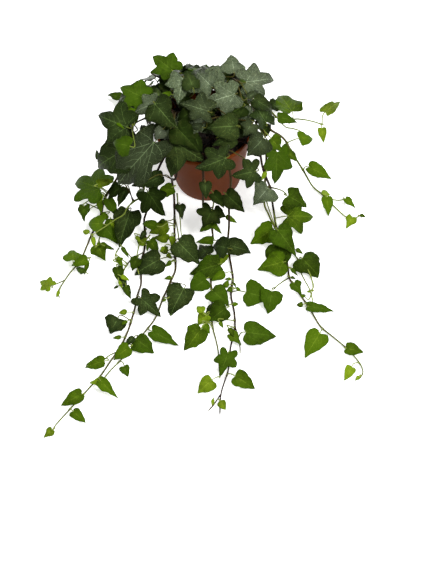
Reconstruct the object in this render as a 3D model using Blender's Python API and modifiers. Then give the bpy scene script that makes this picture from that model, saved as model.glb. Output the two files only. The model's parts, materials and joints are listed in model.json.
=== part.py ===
"""A potted English ivy that stands on a surface, with its long stems lying along that surface.

Units are metres, +Z is up, and the origin is the centre of the pot's base. The viewer stands toward -Y.
Stems and leaves are placed from where they are seen in the photograph: a pixel's line of sight is followed
to a chosen height over the surface, or to the dome that the crown's leaves form.
"""

import math
import random

import bmesh
import bpy
from mathutils import Vector
from mathutils.bvhtree import BVHTree

MM = 0.001

# Pot and soil
RIM_RADIUS = 60 * MM
BASE_RADIUS = 41.5 * MM
POT_HEIGHT = 98 * MM
WALL = 2.0 * MM
LIP_WALL = 3.0 * MM
LIP_DEPTH = 5.0 * MM
FLOOR_THICKNESS = 2.4 * MM
POT_SIDES = 36
DRAIN_HOLES = 6
DRAIN_RADIUS = 4.5 * MM
DRAIN_CIRCLE = 25 * MM
SOIL_DEPTH_UNDER_LIP = 12 * MM
SOIL_SIDES = 24
SOIL_BUMP = 1.3 * MM
GAP = 0.3 * MM
SOIL_TOP = POT_HEIGHT - SOIL_DEPTH_UNDER_LIP

# Stems, petioles and blades
STEM_RADIUS = 1.5 * MM
TIP_RADIUS = 0.65 * MM
SHOOT_RADIUS = 0.8 * MM
PETIOLE_RADIUS = 0.6 * MM
FIRST_CORNER = -150
BURIED = 15 * MM
HOLE_CLEARANCE = 0.75 * MM
HOLE_SIDES = 6
BLADE = 0.7 * MM
CLEARANCE = 0.45 * MM
FLOOR_HEIGHT = 3.0 * MM
SEGMENT = 21 * MM
LOWEST = 0.4 * MM
ROOT_SPACING = 3.2 * MM
ROOT_ZONE = 3.5 * MM

# How leaves are held: a trailing one rises from its root and droops to its tip, a crown one follows the dome
LEAF_RISE = 6 * MM
RISE_PER_PIXEL = 0.35 * MM
RISE_SPREAD = 4 * MM
TIP_DROP = 0.42
TIP_HEIGHT = 3.5 * MM
TRAIL_FACING_SPREAD = 0.22
CROWN_FACING_SPREAD = 0.15
CROWN_TIP_SCALE = 0.95
BACK_LENGTHS = (34 * MM, 45 * MM)
BACK_TRAIL_LENGTHS = (18 * MM, 26 * MM)
INNER_LENGTHS = (26 * MM, 34 * MM)
RULE_WIDTHS = {"star": 1.1, "tri": 0.95, "heart": 0.8}

# How petioles bend: the short ones are straight and the long ones leave the neck under the blade
NECK_BEND = 5 * MM
STRAIGHT_REACH = 14 * MM
BOWED_REACH = 30 * MM

# How old a leaf is, which sets how much its blade arches
ELDEST, OLD, MID, YOUNG, NEW = 1.0, 0.85, 0.6, 0.3, 0.1

# Half outlines of the blades, from under the tip to beside the neck, for a length of 1: (across, along)
OUTLINES = {
    "star": [(0.26, 0.52), (0.60, 0.44), (0.45, 0.10), (0.40, -0.20)],
    "tri": [(0.29, 0.50), (0.52, 0.24), (0.32, -0.12)],
    "broad": [(0.28, 0.63), (0.46, 0.24), (0.32, -0.08)],
    "heart": [(0.38, 0.50), (0.42, 0.00)],
    "small": [(0.40, 0.22)],
}
MIDDLE = 0.30
LARGE = 29 * MM
WIDTHS = {form: 2 * max(x for x, y in outline) for form, outline in OUTLINES.items()}

# The photograph's viewpoint: pixels of a 425 x 568 frame, an 85 mm lens on a 36 mm long side
FOCAL_PIXELS = 85 / 36 * 568
IMAGE_CENTRE = (212.5, 284)
PITCH = math.radians(55.7)
ROLL = math.radians(-5.3)
DISTANCE = 1.731
ORIGIN_PIXEL = (208.4, 175.7)
TO_EYE = Vector((0, -math.cos(PITCH), math.sin(PITCH)))
LEVEL = Vector((1, 0, 0))
RIGHT = LEVEL * math.cos(ROLL) + TO_EYE.cross(LEVEL) * math.sin(ROLL)
UP = TO_EYE.cross(RIGHT)


def sight(px, py):
    """The direction of the line of sight through a pixel."""
    across = (px - IMAGE_CENTRE[0]) / FOCAL_PIXELS
    down = (py - IMAGE_CENTRE[1]) / FOCAL_PIXELS
    return (RIGHT * across - UP * down - TO_EYE).normalized()


EYE = -sight(*ORIGIN_PIXEL) * DISTANCE


def at(px, py, height):
    """The point where a pixel's line of sight is at this height."""
    line = sight(px, py)
    return EYE + line * ((height - EYE.z) / line.z)


def at_depth(px, py, depth):
    """The point on a pixel's line of sight at this depth from the eye."""
    line = sight(px, py)
    return EYE - line * (depth / line.dot(TO_EYE))


def pixel(point):
    """Where a point is seen in the photograph."""
    offset = point - EYE
    depth = -offset.dot(TO_EYE)
    x = IMAGE_CENTRE[0] + FOCAL_PIXELS * offset.dot(RIGHT) / depth
    y = IMAGE_CENTRE[1] - FOCAL_PIXELS * offset.dot(UP) / depth
    return Vector((x, y))


# The dome that the crown's leaves lie on
DOME_CENTRE = Vector((-20 * MM, 10 * MM, 60 * MM))
DOME_AXES = Vector((130 * MM, 118 * MM, 112 * MM))
STEEPEST = 0.55


def to_dome(vector):
    return Vector((vector.x / DOME_AXES.x, vector.y / DOME_AXES.y, vector.z / DOME_AXES.z))


def dome_normal(point):
    """The outward direction of the dome at a point."""
    local = to_dome(point - DOME_CENTRE)
    return to_dome(local).normalized()


def on_dome(px, py, scale):
    """The near point where a pixel's line of sight meets the dome, or passes nearest to it."""
    line = sight(px, py)
    start = to_dome(EYE - DOME_CENTRE) / scale
    step = to_dome(line) / scale
    a = step.dot(step)
    b = start.dot(step)
    c = start.dot(start) - 1
    room = max(b * b - a * c, 0)
    return EYE + line * ((-b - math.sqrt(room)) / a)


def dome_point(azimuth, elevation, scale):
    """A point of the dome by its angles in degrees; azimuth 0 faces the viewer and 90 faces +X."""
    turn = math.radians(azimuth)
    rise = math.radians(elevation)
    x = math.cos(rise) * math.sin(turn)
    y = -math.cos(rise) * math.cos(turn)
    z = math.sin(rise)
    return DOME_CENTRE + Vector((x * DOME_AXES.x, y * DOME_AXES.y, z * DOME_AXES.z)) * scale


# Trailing stems. hole: where the stem stands in the soil, in mm. over: its way over the lip, in mm.
# trail: pixels of its seen part, with the heights of the first of them in fall, in mm.
# shoots: side shoots as pixels. leaves: base and tip pixels, form, width to length, age.
TRAILS = {
    "stem_left_far": {
        "hole": (-40, -4),
        "over": [(-52, -8, 106), (-72, -14, 106), (-104, -26, 62)],
        "fall": (26, 14, 5),
        "trail": [(106, 196), (103, 206), (100, 217), (96, 226), (91, 236), (86, 248), (82, 257), (76, 266),
                  (70, 273), (65, 280), (60, 288), (57.5, 293), (60, 298)],
        "shoots": [[(100, 217), (104, 225), (100, 236), (98, 245)], [(65, 280), (57, 284), (50, 286)]],
        "leaves": [
            (100, 188, 72, 180, "star", 1.00, YOUNG), (98, 184, 115, 181, "heart", 0.45, YOUNG),
            (100, 194, 94, 204, "heart", 0.90, NEW), (99, 200, 101, 214, "heart", 0.45, MID),
            (84, 206, 84, 222, "tri", 0.80, OLD), (104, 225, 118, 244.5, "tri", 1.00, YOUNG),
            (103, 224, 87, 223, "heart", 0.80, YOUNG), (104, 223, 105, 213, "small", 0.70, OLD),
            (73, 260, 73, 248, "tri", 0.90, YOUNG), (87, 259, 71, 266, "heart", 0.55, MID),
            (98, 246, 105.5, 261, "tri", 1.10, YOUNG), (88, 262, 84, 275, "small", 0.40, YOUNG),
            (85, 272, 75, 267, "small", 0.40, MID), (105, 246, 115, 250, "small", 0.40, MID),
            (50, 286, 39, 281, "star", 0.90, YOUNG), (59, 291, 56, 298, "small", 0.50, NEW),
            (89, 233, 82, 230, "small", 0.50, YOUNG), (107, 199, 118, 217, "heart", 0.50, MID),
        ],
    },
    "stem_left_pale": {
        "hole": (-31, -20),
        "over": [(-42, -27, 106), (-56, -37, 107), (-76, -52, 72)],
        "fall": (46, 32, 20, 17, 10, 6, 6, 6, 8, 15),
        "trail": [(142, 196), (134, 201), (128, 207), (124, 213), (118, 218), (110, 223), (104, 229), (98, 233)],
        "shoots": [],
        "leaves": [
            (130, 211, 119, 247.5, "heart", 0.70, OLD), (111, 220, 114, 229, "small", 0.50, NEW),
            (121, 186, 108, 199, "heart", 0.70, OLD), (126, 188, 118, 207, "heart", 0.50, OLD),
            (97, 232, 89, 235, "small", 0.45, NEW), (140, 189, 144, 199, "small", 0.70, ELDEST),
        ],
    },
    "stem_left_long": {
        "hole": (-22, -30),
        "over": [(-32, -38, 107), (-50, -50, 107), (-70, -64, 70)],
        "fall": (34, 18, 7),
        "trail": [(147, 210), (144, 220), (145, 230), (145, 242), (144, 252), (141, 262), (141, 276), (141, 285),
                  (138, 293), (136, 303), (133, 315), (130, 325), (128, 331), (123, 342), (117, 352), (110, 362),
                  (104, 371), (99, 378), (91, 386), (84, 394), (72, 407), (62, 418), (55, 426), (49, 437)],
        "shoots": [[(144, 252), (132, 258), (125, 268), (121, 278), (125, 286)],
                   [(117, 352), (110, 354), (104.5, 360)]],
        "leaves": [
            (148, 192, 165, 216, "star", 1.10, MID), (145, 231, 140, 240, "small", 0.60, OLD),
            (145, 244, 136, 236, "small", 0.50, YOUNG), (137, 258, 132, 271, "heart", 0.80, MID),
            (117, 267, 121, 285, "heart", 0.55, OLD), (122, 279, 127, 290, "small", 0.55, OLD),
            (121, 276, 130, 281, "small", 0.50, NEW), (126, 286, 131, 299, "heart", 0.55, MID),
            (117, 257, 123, 268, "small", 0.50, MID),
            (150, 240, 159, 254, "heart", 0.60, MID), (118, 318, 110, 334, "heart", 1.20, OLD),
            (127, 312, 118, 313, "small", 0.60, YOUNG), (127, 321, 121, 325, "small", 0.60, YOUNG),
            (121, 337, 112, 338, "small", 0.45, YOUNG), (129, 347, 113, 360, "heart", 0.70, YOUNG),
            (104, 361, 83.5, 367.5, "heart", 0.50, MID), (103, 382, 88.5, 383, "tri", 0.60, YOUNG),
            (101, 381, 118.5, 399, "tri", 0.50, MID), (82, 394, 60, 405.5, "heart", 0.55, MID),
            (73, 411, 86, 423, "heart", 0.60, MID), (52, 430, 43, 438, "tri", 0.80, YOUNG),
            (141, 298, 161, 317, "star", 1.00, OLD),
        ],
    },
    "stem_front_left": {
        "hole": (-10, -34),
        "over": [(-18, -44, 107), (-34, -60, 107), (-40, -74, 92)],
        "fall": (74, 52, 24, 6),
        "trail": [(172, 180), (174, 195), (174.5, 215), (174.5, 235), (175, 255), (175.5, 270), (172, 278),
                  (167, 290), (163, 298), (156, 317), (148, 328), (138, 340), (130, 350), (121, 360),
                  (110, 371), (104, 379), (99, 388)],
        "shoots": [[(174.5, 215), (178, 231), (179, 241)]],
        "leaves": [
            (168, 226, 148, 233, "heart", 0.60, YOUNG), (157, 226, 141, 223, "small", 0.45, MID),
            (168, 239, 153, 237, "heart", 0.45, MID), (168, 250, 159, 251, "small", 0.80, NEW),
            (171, 262, 165, 267, "small", 0.70, YOUNG),
            (171, 277, 164, 279, "small", 0.60, YOUNG), (172, 236, 172, 247, "small", 0.60, YOUNG),
            (160, 259, 134, 275, "heart", 0.85, OLD),
            (136, 339, 154.5, 353, "heart", 0.80, OLD), (134, 337, 125, 346, "small", 0.60, OLD),
            (152, 331, 179, 345.5, "heart", 0.50, MID), (124, 366, 128, 377, "heart", 0.85, MID),
            (184, 288, 170, 316, "heart", 0.85, OLD), (178, 242, 200, 264, "heart", 0.85, OLD),
            (180, 205, 182, 220, "tri", 0.70, MID), (162, 176, 139, 187, "heart", 0.60, ELDEST),
            (172, 187, 155, 199, "heart", 0.65, MID), (143, 181, 131, 186, "small", 0.60, OLD),
        ],
    },
    "stem_front": {
        "hole": (-3, -42),
        "over": [(-5, -52, 106), (-6, -66, 107), (-7, -82, 92)],
        "fall": (62, 46, 26, 15, 8, 5),
        "trail": [(203, 201), (204, 210), (211, 222), (212, 230), (213, 237), (211, 247), (209, 258), (210, 270),
                  (211, 283), (212, 300), (212, 323), (216, 340), (218, 350), (219, 365), (220, 379)],
        "shoots": [],
        "leaves": [
            (212, 210, 203, 228, "star", 1.40, MID), (214, 210, 226, 217, "heart", 0.90, OLD),
            (212, 223, 222, 234, "small", 0.40, OLD), (226, 216, 237.5, 223, "small", 0.45, MID),
            (213, 240, 195, 242, "heart", 0.40, MID), (207, 254, 199, 244, "tri", 0.90, OLD),
            (219, 264, 189, 274, "heart", 0.75, MID), (206, 279, 189, 291, "heart", 0.90, MID),
            (212, 290, 229, 306, "heart", 0.90, MID), (226, 308, 208, 321.5, "heart", 0.95, MID),
            (216, 306, 204, 317, "small", 0.70, OLD), (206, 314, 198, 325, "heart", 0.95, YOUNG),
            (204, 324, 210, 334, "small", 0.70, MID), (203, 312, 197, 306, "small", 0.70, MID),
            (201, 329, 184, 351, "heart", 0.80, MID), (212, 380, 197, 393.5, "heart", 0.80, YOUNG),
            (205, 182, 206, 199, "heart", 0.70, YOUNG), (213, 193, 224, 208, "heart", 0.60, OLD),
            (211, 223, 199, 232, "small", 0.60, MID),
        ],
    },
    "stem_front_right": {
        "hole": (14, -38),
        "over": [(17, -50, 106), (22, -64, 107), (26, -80, 92)],
        "fall": (64, 46, 26, 13, 5),
        "trail": [(229, 200), (229, 212), (229, 226), (228, 240), (229, 254), (231, 265), (233, 278), (232, 285),
                  (231, 296), (234, 310), (235, 323), (234, 333), (231, 345), (230, 352), (229, 362), (228, 372),
                  (224, 383), (221, 394), (220, 405), (220, 415)],
        "shoots": [[(235, 325), (238, 338), (240, 346), (240, 354)], [(221, 394), (214, 405), (208, 411)]],
        "leaves": [
            (229, 245, 252.5, 252.5, "heart", 0.75, OLD), (228, 248, 212, 245, "heart", 0.95, OLD),
            (225, 254, 220, 266, "heart", 0.70, MID), (225, 273, 210, 281, "small", 0.55, YOUNG),
            (246, 292, 270, 299, "heart", 1.05, OLD), (246, 332, 277, 336.5, "heart", 0.78, MID),
            (231, 334, 242, 345.5, "tri", 0.80, YOUNG), (229, 328, 234, 337, "small", 0.60, MID),
            (228, 353, 220, 376.5, "star", 0.95, MID), (235, 376, 255.5, 389, "heart", 0.67, MID),
            (220, 401, 226, 410, "small", 0.90, YOUNG),
            (226, 194, 245, 212, "heart", 0.75, OLD),
        ],
    },
    "stem_right": {
        "hole": (24, -29),
        "over": [(37, -35, 106), (51, -43, 107), (63, -51, 100)],
        "fall": (88, 72, 54, 30, 11, 4),
        "trail": [(262, 165), (266, 177), (270, 187), (272, 200), (274, 213), (276, 226), (279, 237), (283, 246),
                  (286, 258), (288, 268), (289, 277), (294, 286), (304, 300), (308, 306), (314, 316), (321, 327),
                  (332, 336), (344, 346), (355, 357), (362, 367), (363, 374), (358, 380)],
        "shoots": [[(271, 187), (281, 189), (287, 195)], [(288, 278), (280, 283), (273, 290)]],
        "leaves": [
            (288, 216, 315.5, 216, "star", 1.00, YOUNG), (268, 188, 253, 205.5, "tri", 1.20, ELDEST),
            (288, 196, 308, 207, "tri", 1.10, OLD), (294, 283, 302, 295, "tri", 0.90, MID),
            (308, 306, 335, 311, "heart", 0.40, OLD), (320, 333, 305, 358, "heart", 0.75, YOUNG),
            (346, 348, 364, 352.5, "heart", 0.65, MID), (352, 367, 344.5, 381, "heart", 0.65, YOUNG),
            (272, 291, 268, 314, "heart", 0.90, OLD),
            (279, 245, 281, 276, "heart", 0.85, MID), (283, 262, 256, 269.5, "tri", 1.00, YOUNG),
            (273, 229, 250, 244, "heart", 0.80, OLD), (275, 236, 270, 243, "small", 0.60, MID),
            (266, 172, 261, 181, "small", 0.50, NEW),
        ],
    },
    "stem_right_low": {
        "hole": (26, -15),
        "over": [(40, -23, 106), (58, -31, 107), (72, -41, 88)],
        "fall": (50, 30, 16, 13, 7),
        "trail": [(264, 200), (268, 213), (273, 224), (280, 236), (289, 248), (297, 258), (303, 265), (308, 271),
                  (312, 280), (314, 287), (311, 291)],
        "shoots": [[(297, 258), (300, 271), (305, 281), (310, 290), (313, 302)]],
        "leaves": [
            (278, 230, 297, 256, "tri", 0.80, YOUNG), (302, 258, 319, 277, "heart", 1.20, OLD),
            (296, 249, 303, 254, "small", 0.60, MID), (291, 269, 298, 276, "small", 0.40, MID),
        ],
    },
    "stem_right_side": {
        "hole": (42, 7),
        "over": [(52, 6, 106)],
        "fall": (108, 104, 92, 76, 58, 36, 20, 12, 6),
        "trail": [(265, 125), (272, 131), (278, 134), (285, 140), (290, 149), (296, 159), (303, 170), (308, 179),
                  (313, 187), (318, 191), (326, 198), (336, 208), (346, 217), (353, 219), (361, 215)],
        "shoots": [[(326, 198), (336, 201), (346, 199)]],
        "leaves": [
            (299, 138, 314, 138, "heart", 0.90, MID), (288, 152, 298, 162, "heart", 0.60, MID),
            (309, 167, 332.5, 179, "heart", 0.65, MID), (327, 197, 328.5, 216, "heart", 0.55, YOUNG),
            (346, 199, 356, 209, "tri", 0.60, YOUNG),
            (352, 217, 346, 229, "tri", 0.90, NEW),
        ],
    },
    "stem_right_back": {
        "hole": (34, 20),
        "over": [(48, 26, 106), (64, 30, 108)],
        "fall": (106, 92, 74, 48, 26, 11),
        "trail": [(268, 108), (276, 117), (286, 120), (298, 119), (311, 121), (324, 125)],
        "shoots": [[(277, 118), (284, 128), (291, 128), (301, 131)]],
        "leaves": [
            (292, 111, 278, 93.5, "heart", 0.80, MID), (325, 112, 341, 100, "heart", 0.60, YOUNG),
            (278, 117, 298, 122, "heart", 0.55, MID), (322, 128, 323.5, 143, "heart", 0.55, NEW),
        ],
    },
}

# Crown stems. hole and reach in mm. leaves as above, on the dome.
CROWNS = {
    "crown_back_left": {
        "hole": (-20, 18), "reach": [(-26, 26, 120), (-42, 44, 134), (-60, 58, 138)],
        "leaves": [
            (172, 70, 152, 55, "star", 1.10, MID), (183, 78, 178, 104, "star", 1.15, ELDEST),
            (193, 88, 187, 71, "heart", 0.80, OLD), (171, 94, 161, 93, "small", 0.50, YOUNG),
            (160, 99, 156, 87, "small", 0.50, OLD),
        ],
    },
    "crown_left_back": {
        "hole": (-34, 12), "reach": [(-44, 18, 120), (-66, 26, 130), (-92, 34, 126)],
        "leaves": [
            (142, 97, 118.5, 86, "star", 1.10, MID), (155, 103, 133, 112, "star", 1.10, ELDEST),
            (127, 127, 96, 115, "star", 1.15, MID), (131, 122, 121, 101, "tri", 0.90, YOUNG),
        ],
    },
    "crown_left": {
        "hole": (-30, 0), "reach": [(-40, 0, 118), (-64, -8, 132), (-90, -14, 126)],
        "leaves": [
            (154, 142, 116, 186, "star", 0.72, OLD), (128, 148, 94, 168, "heart", 0.95, OLD),
            (130, 146, 112, 142, "heart", 0.90, OLD), (98, 159, 96, 149, "small", 0.50, YOUNG),
        ],
    },
    "crown_middle_left": {
        "hole": (-14, -6), "reach": [(-20, -8, 122), (-34, -12, 142), (-44, -14, 152)],
        "leaves": [
            (155, 104, 178, 129, "tri", 0.90, ELDEST), (163, 129, 154, 140, "heart", 0.80, ELDEST),
            (171, 132, 164, 140, "heart", 0.70, ELDEST), (174, 142, 205, 161, "star", 1.10, OLD),
            (177, 128, 200, 152, "tri", 0.80, OLD), (191, 112, 177, 121, "heart", 0.90, ELDEST),
            (177, 152, 171, 178, "heart", 0.75, MID),
        ],
    },
    "crown_back": {
        "hole": (2, 24), "reach": [(2, 32, 122), (4, 42, 136), (4, 46, 140)],
        "leaves": [
            (212, 87, 196, 71, "star", 1.20, ELDEST), (234, 72, 231, 53.5, "tri", 1.20, ELDEST),
            (235, 94, 201, 104, "star", 1.00, ELDEST), (212, 82, 219, 64, "heart", 0.90, ELDEST),
        ],
    },
    "crown_back_right": {
        "hole": (20, 22), "reach": [(26, 28, 122), (40, 38, 142), (52, 46, 146)],
        "leaves": [
            (246, 82, 276, 79, "star", 1.00, ELDEST), (254, 99, 274, 111, "heart", 0.60, OLD),
            (266, 122, 250, 99, "star", 1.10, OLD), (247, 98, 260, 90, "small", 0.40, OLD),
        ],
    },
    "crown_middle": {
        "hole": (2, 2), "reach": [(4, 2, 124), (4, 4, 144), (2, 4, 156)],
        "leaves": [
            (208, 111, 179, 103, "star", 1.00, ELDEST), (224, 119, 215, 127, "small", 0.80, ELDEST),
            (243, 106, 222, 120, "heart", 0.80, OLD), (226, 105, 206, 107, "heart", 0.70, OLD),
            (202, 127, 186, 126, "heart", 0.45, YOUNG),
        ],
    },
    "crown_middle_right": {
        "hole": (16, -12), "reach": [(20, -16, 120), (28, -20, 136), (34, -22, 142)],
        "leaves": [
            (233, 137, 212, 146, "tri", 0.90, MID),
            (194, 135, 203, 153, "heart", 0.50, OLD), (252, 112, 236, 119, "tri", 0.90, ELDEST),
            (252, 124, 243, 136, "star", 1.40, ELDEST),
        ],
    },
    "crown_right": {
        "hole": (36, -5), "reach": [(44, -9, 116), (57, -17, 128), (65, -22, 126)],
        "leaves": [
            (264, 138, 247, 156, "heart", 1.10, ELDEST), (271, 138, 281, 151, "heart", 0.80, MID),
            (277, 152, 275.5, 185.5, "star", 0.85, MID),
        ],
    },
    "crown_front": {
        "hole": (6, -26), "reach": [(8, -34, 116), (14, -48, 122), (18, -58, 116)],
        "leaves": [
            (226, 158, 195, 170, "star", 1.10, MID), (237, 126, 206, 128, "heart", 0.90, MID),
            (256, 171, 232, 176, "star", 1.20, OLD),
        ],
    },
}

# Stems of the far side. hole, over and trail in mm; their leaves follow rules.
BACKS = {
    "back_left": {
        "hole": (-26, 28), "over": [(-36, 40, 106), (-48, 54, 108), (-62, 70, 84)],
        "trail": [(-76, 86, 44), (-88, 100, 12), (-98, 116, 3), (-96, 138, 3)], "sector": (195, 250),
    },
    "back_middle": {
        "hole": (-4, 40), "over": [(-6, 52, 107), (-8, 66, 108), (-12, 82, 86)],
        "trail": [(-14, 92, 46), (-14, 102, 12), (-20, 122, 3), (-14, 146, 3)], "sector": (160, 195),
    },
    "back_right": {
        "hole": (20, 34), "over": [(30, 46, 107), (40, 56, 108), (52, 68, 84)],
        "trail": [(62, 80, 44), (70, 92, 12), (80, 108, 3), (76, 130, 3)], "sector": (115, 160),
    },
}
BACK_LEAVES_ON_DOME = 9
BACK_SCALE = 0.78
LOWEST_RISE = -6
HIGHEST_RISE = 66
INNER_LEAVES = 1


def millimetres(values):
    return Vector(values) * MM


def smooth(points, spacing):
    """Points about one spacing apart on a Catmull-Rom curve through the given points."""
    ends = [points[0] * 2 - points[1]] + points + [points[-1] * 2 - points[-2]]
    result = []
    for a, b, c, d in zip(ends, ends[1:], ends[2:], ends[3:]):
        steps = max(1, round((c - b).length / spacing))
        for i in range(steps):
            t = i / steps
            result.append(0.5 * (2 * b + (c - a) * t + (2 * a - 5 * b + 4 * c - d) * t * t
                                 + (3 * b - a - 3 * c + d) * t * t * t))
    return result + [points[-1]]


def stem_line(hole, over, trail):
    """A stem's way: straight up out of its hole, then smooth over the lip and along its trail."""
    foot = Vector((hole[0] * MM, hole[1] * MM, SOIL_TOP - BURIED))
    collar = Vector((foot.x, foot.y, SOIL_TOP + 5 * MM))
    return [foot] + smooth([collar] + [millimetres(p) for p in over] + trail, SEGMENT)


def seen_trail(spec):
    """The seen part of a trailing stem, from its pixels and heights."""
    fall = [h * MM for h in spec["fall"]]
    heights = fall + [FLOOR_HEIGHT] * len(spec["trail"])
    return [at(x, y, h) for (x, y), h in zip(spec["trail"], heights)]


def nearest_on(line, point, measure):
    """The place on a line of points that measures nearest to a point."""
    best = None
    for a, b in zip(line[1:], line[2:]):
        for i in range(5):
            place = a.lerp(b, i / 5)
            distance = measure(place, point)
            if best is None or distance < best[0]:
                best = (distance, place)
    return best[1]


def nearest_seen(line, px, py):
    """The place on a line that is seen nearest to a pixel."""
    return nearest_on(line, Vector((px, py)), lambda place, spot: (pixel(place) - spot).length)


def nearest_place(line, point):
    return nearest_on(line, point, lambda place, spot: (place - spot).length)


def leaf(base, tip, normal, form, width, age, root):
    """What describes one leaf: blade base and tip, the way it faces, its form and its petiole's root."""
    if form == "heart" and (tip - base).length > LARGE:
        form = "broad"
    return {"base": base, "tip": tip, "normal": normal, "form": form, "width": width, "age": age, "root": root}


def trailing_leaf(row, lines, dice):
    """A leaf of a trailing stem, held a little over its stem, with its tip lower."""
    bx, by, tx, ty, form, width, age = row
    spot = Vector((bx, by))
    root = min((nearest_seen(line, bx, by) for line in lines), key=lambda place: (pixel(place) - spot).length)
    apart = (pixel(root) - spot).length
    high = root.z + LEAF_RISE + RISE_PER_PIXEL * apart + dice.uniform(0, 1) * RISE_SPREAD
    base = at(bx, by, high)
    low = high
    for _ in range(3):
        tip = at(tx, ty, low)
        low = max(high - TIP_DROP * (tip - base).length, TIP_HEIGHT)
    tip = at(tx, ty, low)
    out = Vector((root.x, root.y, 0)).normalized()
    normal = Vector((0, 0, 1)) * 0.75 + TO_EYE * 0.5 + out * 0.15
    normal += Vector((dice.uniform(-1, 1), dice.uniform(-1, 1), 0)) * TRAIL_FACING_SPREAD
    return leaf(base, tip, normal, form, width, age, root)


def crown_leaf(row, lines, dice):
    """A leaf of the crown, on the dome; it points away from the viewer or toward them by a limited slope."""
    bx, by, tx, ty, form, width, age = row
    base = on_dome(bx, by, 1.0)
    far = -(base - EYE).dot(TO_EYE)
    beside = at_depth(tx, ty, far)
    limit = STEEPEST * (beside - base).length
    slope = -(on_dome(tx, ty, CROWN_TIP_SCALE) - base).dot(TO_EYE)
    tip = at_depth(tx, ty, far + max(-limit, min(limit, slope)))
    normal = dome_normal((base + tip) / 2) * 0.55 + TO_EYE * 0.6
    normal += Vector((dice.uniform(-1, 1), dice.uniform(-1, 1), 0)) * CROWN_FACING_SPREAD
    return leaf(base, tip, normal, form, width, age, nearest_place(lines[0], base))


def rule_leaf(base, direction, normal, length, lines, dice):
    """A leaf of the hidden sides, in a form drawn by the dice."""
    form = dice.choice(("star", "tri", "heart", "heart"))
    age = dice.choice((OLD, OLD, MID))
    tip = base + direction.normalized() * length
    return leaf(base, tip, normal, form, RULE_WIDTHS[form], age, nearest_place(lines[0], base))


def back_leaves(spec, lines, dice):
    """Leaves of a far-side stem: some hang outward from the dome, and some lie beside its trail by turns."""
    first, last = spec["sector"]
    leaves = []
    for i in range(BACK_LEAVES_ON_DOME):
        share = (i + 0.5) / BACK_LEAVES_ON_DOME
        azimuth = first + (last - first) * ((i * 0.618) % 1)
        rise = LOWEST_RISE + (HIGHEST_RISE - LOWEST_RISE) * share + dice.uniform(-4, 4)
        base = dome_point(azimuth, rise, BACK_SCALE)
        out = dome_normal(base)
        side = Vector((-out.y, out.x, 0)).normalized() * dice.uniform(-0.8, 0.8)
        direction = Vector((out.x, out.y, -0.75)) * 0.7 + side + Vector((0, 0, -0.35))
        direction -= out * direction.dot(out) * 0.8
        length = dice.uniform(*BACK_LENGTHS)
        leaves.append(rule_leaf(base, direction, out + Vector((0, 0, 0.25)), length, lines, dice))
    line = lines[0][-5:]
    for i, place in enumerate(line[1:]):
        away = (line[i + 1] - line[i]).normalized()
        side = Vector((-away.y, away.x, 0)).normalized() * (1 if i % 2 else -1)
        base = place + side * 12 * MM + Vector((0, 0, 9 * MM))
        base.z = max(base.z, 11 * MM)
        direction = side + away * 0.5 + Vector((0, 0, -0.28))
        length = dice.uniform(*BACK_TRAIL_LENGTHS)
        leaves.append(rule_leaf(base, direction, Vector((0, 0, 1)) + side * 0.2, length, lines, dice))
    return leaves


def inner_leaves(lines, dice):
    """Shaded leaves under the crown's outer layer, round the stem's top."""
    leaves = []
    top = lines[0][-1]
    out = dome_normal(top)
    for i in range(INNER_LEAVES):
        turn = math.radians(dice.uniform(-70, 70) + 180 * (i % 2))
        side = Vector((-out.y, out.x, 0)).normalized()
        away = side * math.cos(turn) + out.cross(side) * math.sin(turn)
        place = lines[0][-3 + i] + out * 9 * MM + away * 10 * MM
        leaves.append(rule_leaf(place, away - out * 0.1, out, dice.uniform(*INNER_LENGTHS), lines, dice))
    return leaves


# Blades and petioles

def frame_of(spec, lift, roll):
    """The base, tip, across and facing directions of a blade, lifted along the sight and rolled."""
    middle = (spec["base"] + spec["tip"]) / 2
    shift = (EYE - middle).normalized() * lift
    base = spec["base"] + shift
    tip = spec["tip"] + shift
    along = (tip - base).normalized()
    facing = spec["normal"] - along * spec["normal"].dot(along)
    facing.normalize()
    across = along.cross(facing)
    turned = across * math.cos(roll) + facing * math.sin(roll)
    return base, tip, turned, turned.cross(along)


def blade_point(spec, frame, x, y):
    """A point of the blade's middle surface, arched along and across; x and y are shares of its length."""
    base, tip, across, facing = frame
    length = (tip - base).length
    wide = x * spec["width"] / WIDTHS[spec["form"]]
    arch = (0.10 + 0.12 * spec["age"]) * y * (1 - y) - (0.16 + 0.18 * spec["age"]) * wide * wide
    return base + (tip - base) * y + across * (wide * length) + facing * (arch * length)


def blade_mesh(spec, frame, thickness):
    """A closed blade: a fan of triangles round the meeting point of its veins, extruded to its thickness."""
    length = (frame[1] - frame[0]).length
    neck = PETIOLE_RADIUS / length * WIDTHS[spec["form"]] / spec["width"]
    half = OUTLINES[spec["form"]] + [(neck, 0)]
    outline = [(0, 1)] + half + [(-x, y) for x, y in half[::-1]]
    bm = bmesh.new()
    under = frame[3] * (-thickness / 2)
    rim = [bm.verts.new(blade_point(spec, frame, x, y) + under) for x, y in outline]
    middle = bm.verts.new(blade_point(spec, frame, 0, MIDDLE) + under)
    for a, b in zip(rim, rim[1:] + rim[:1]):
        bm.faces.new((middle, a, b))
    raised = bmesh.ops.extrude_face_region(bm, geom=bm.faces[:])
    moved = [v for v in raised["geom"] if isinstance(v, bmesh.types.BMVert)]
    bmesh.ops.translate(bm, verts=moved, vec=frame[3] * thickness)
    bmesh.ops.recalc_face_normals(bm, faces=bm.faces[:])
    return bm


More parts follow.
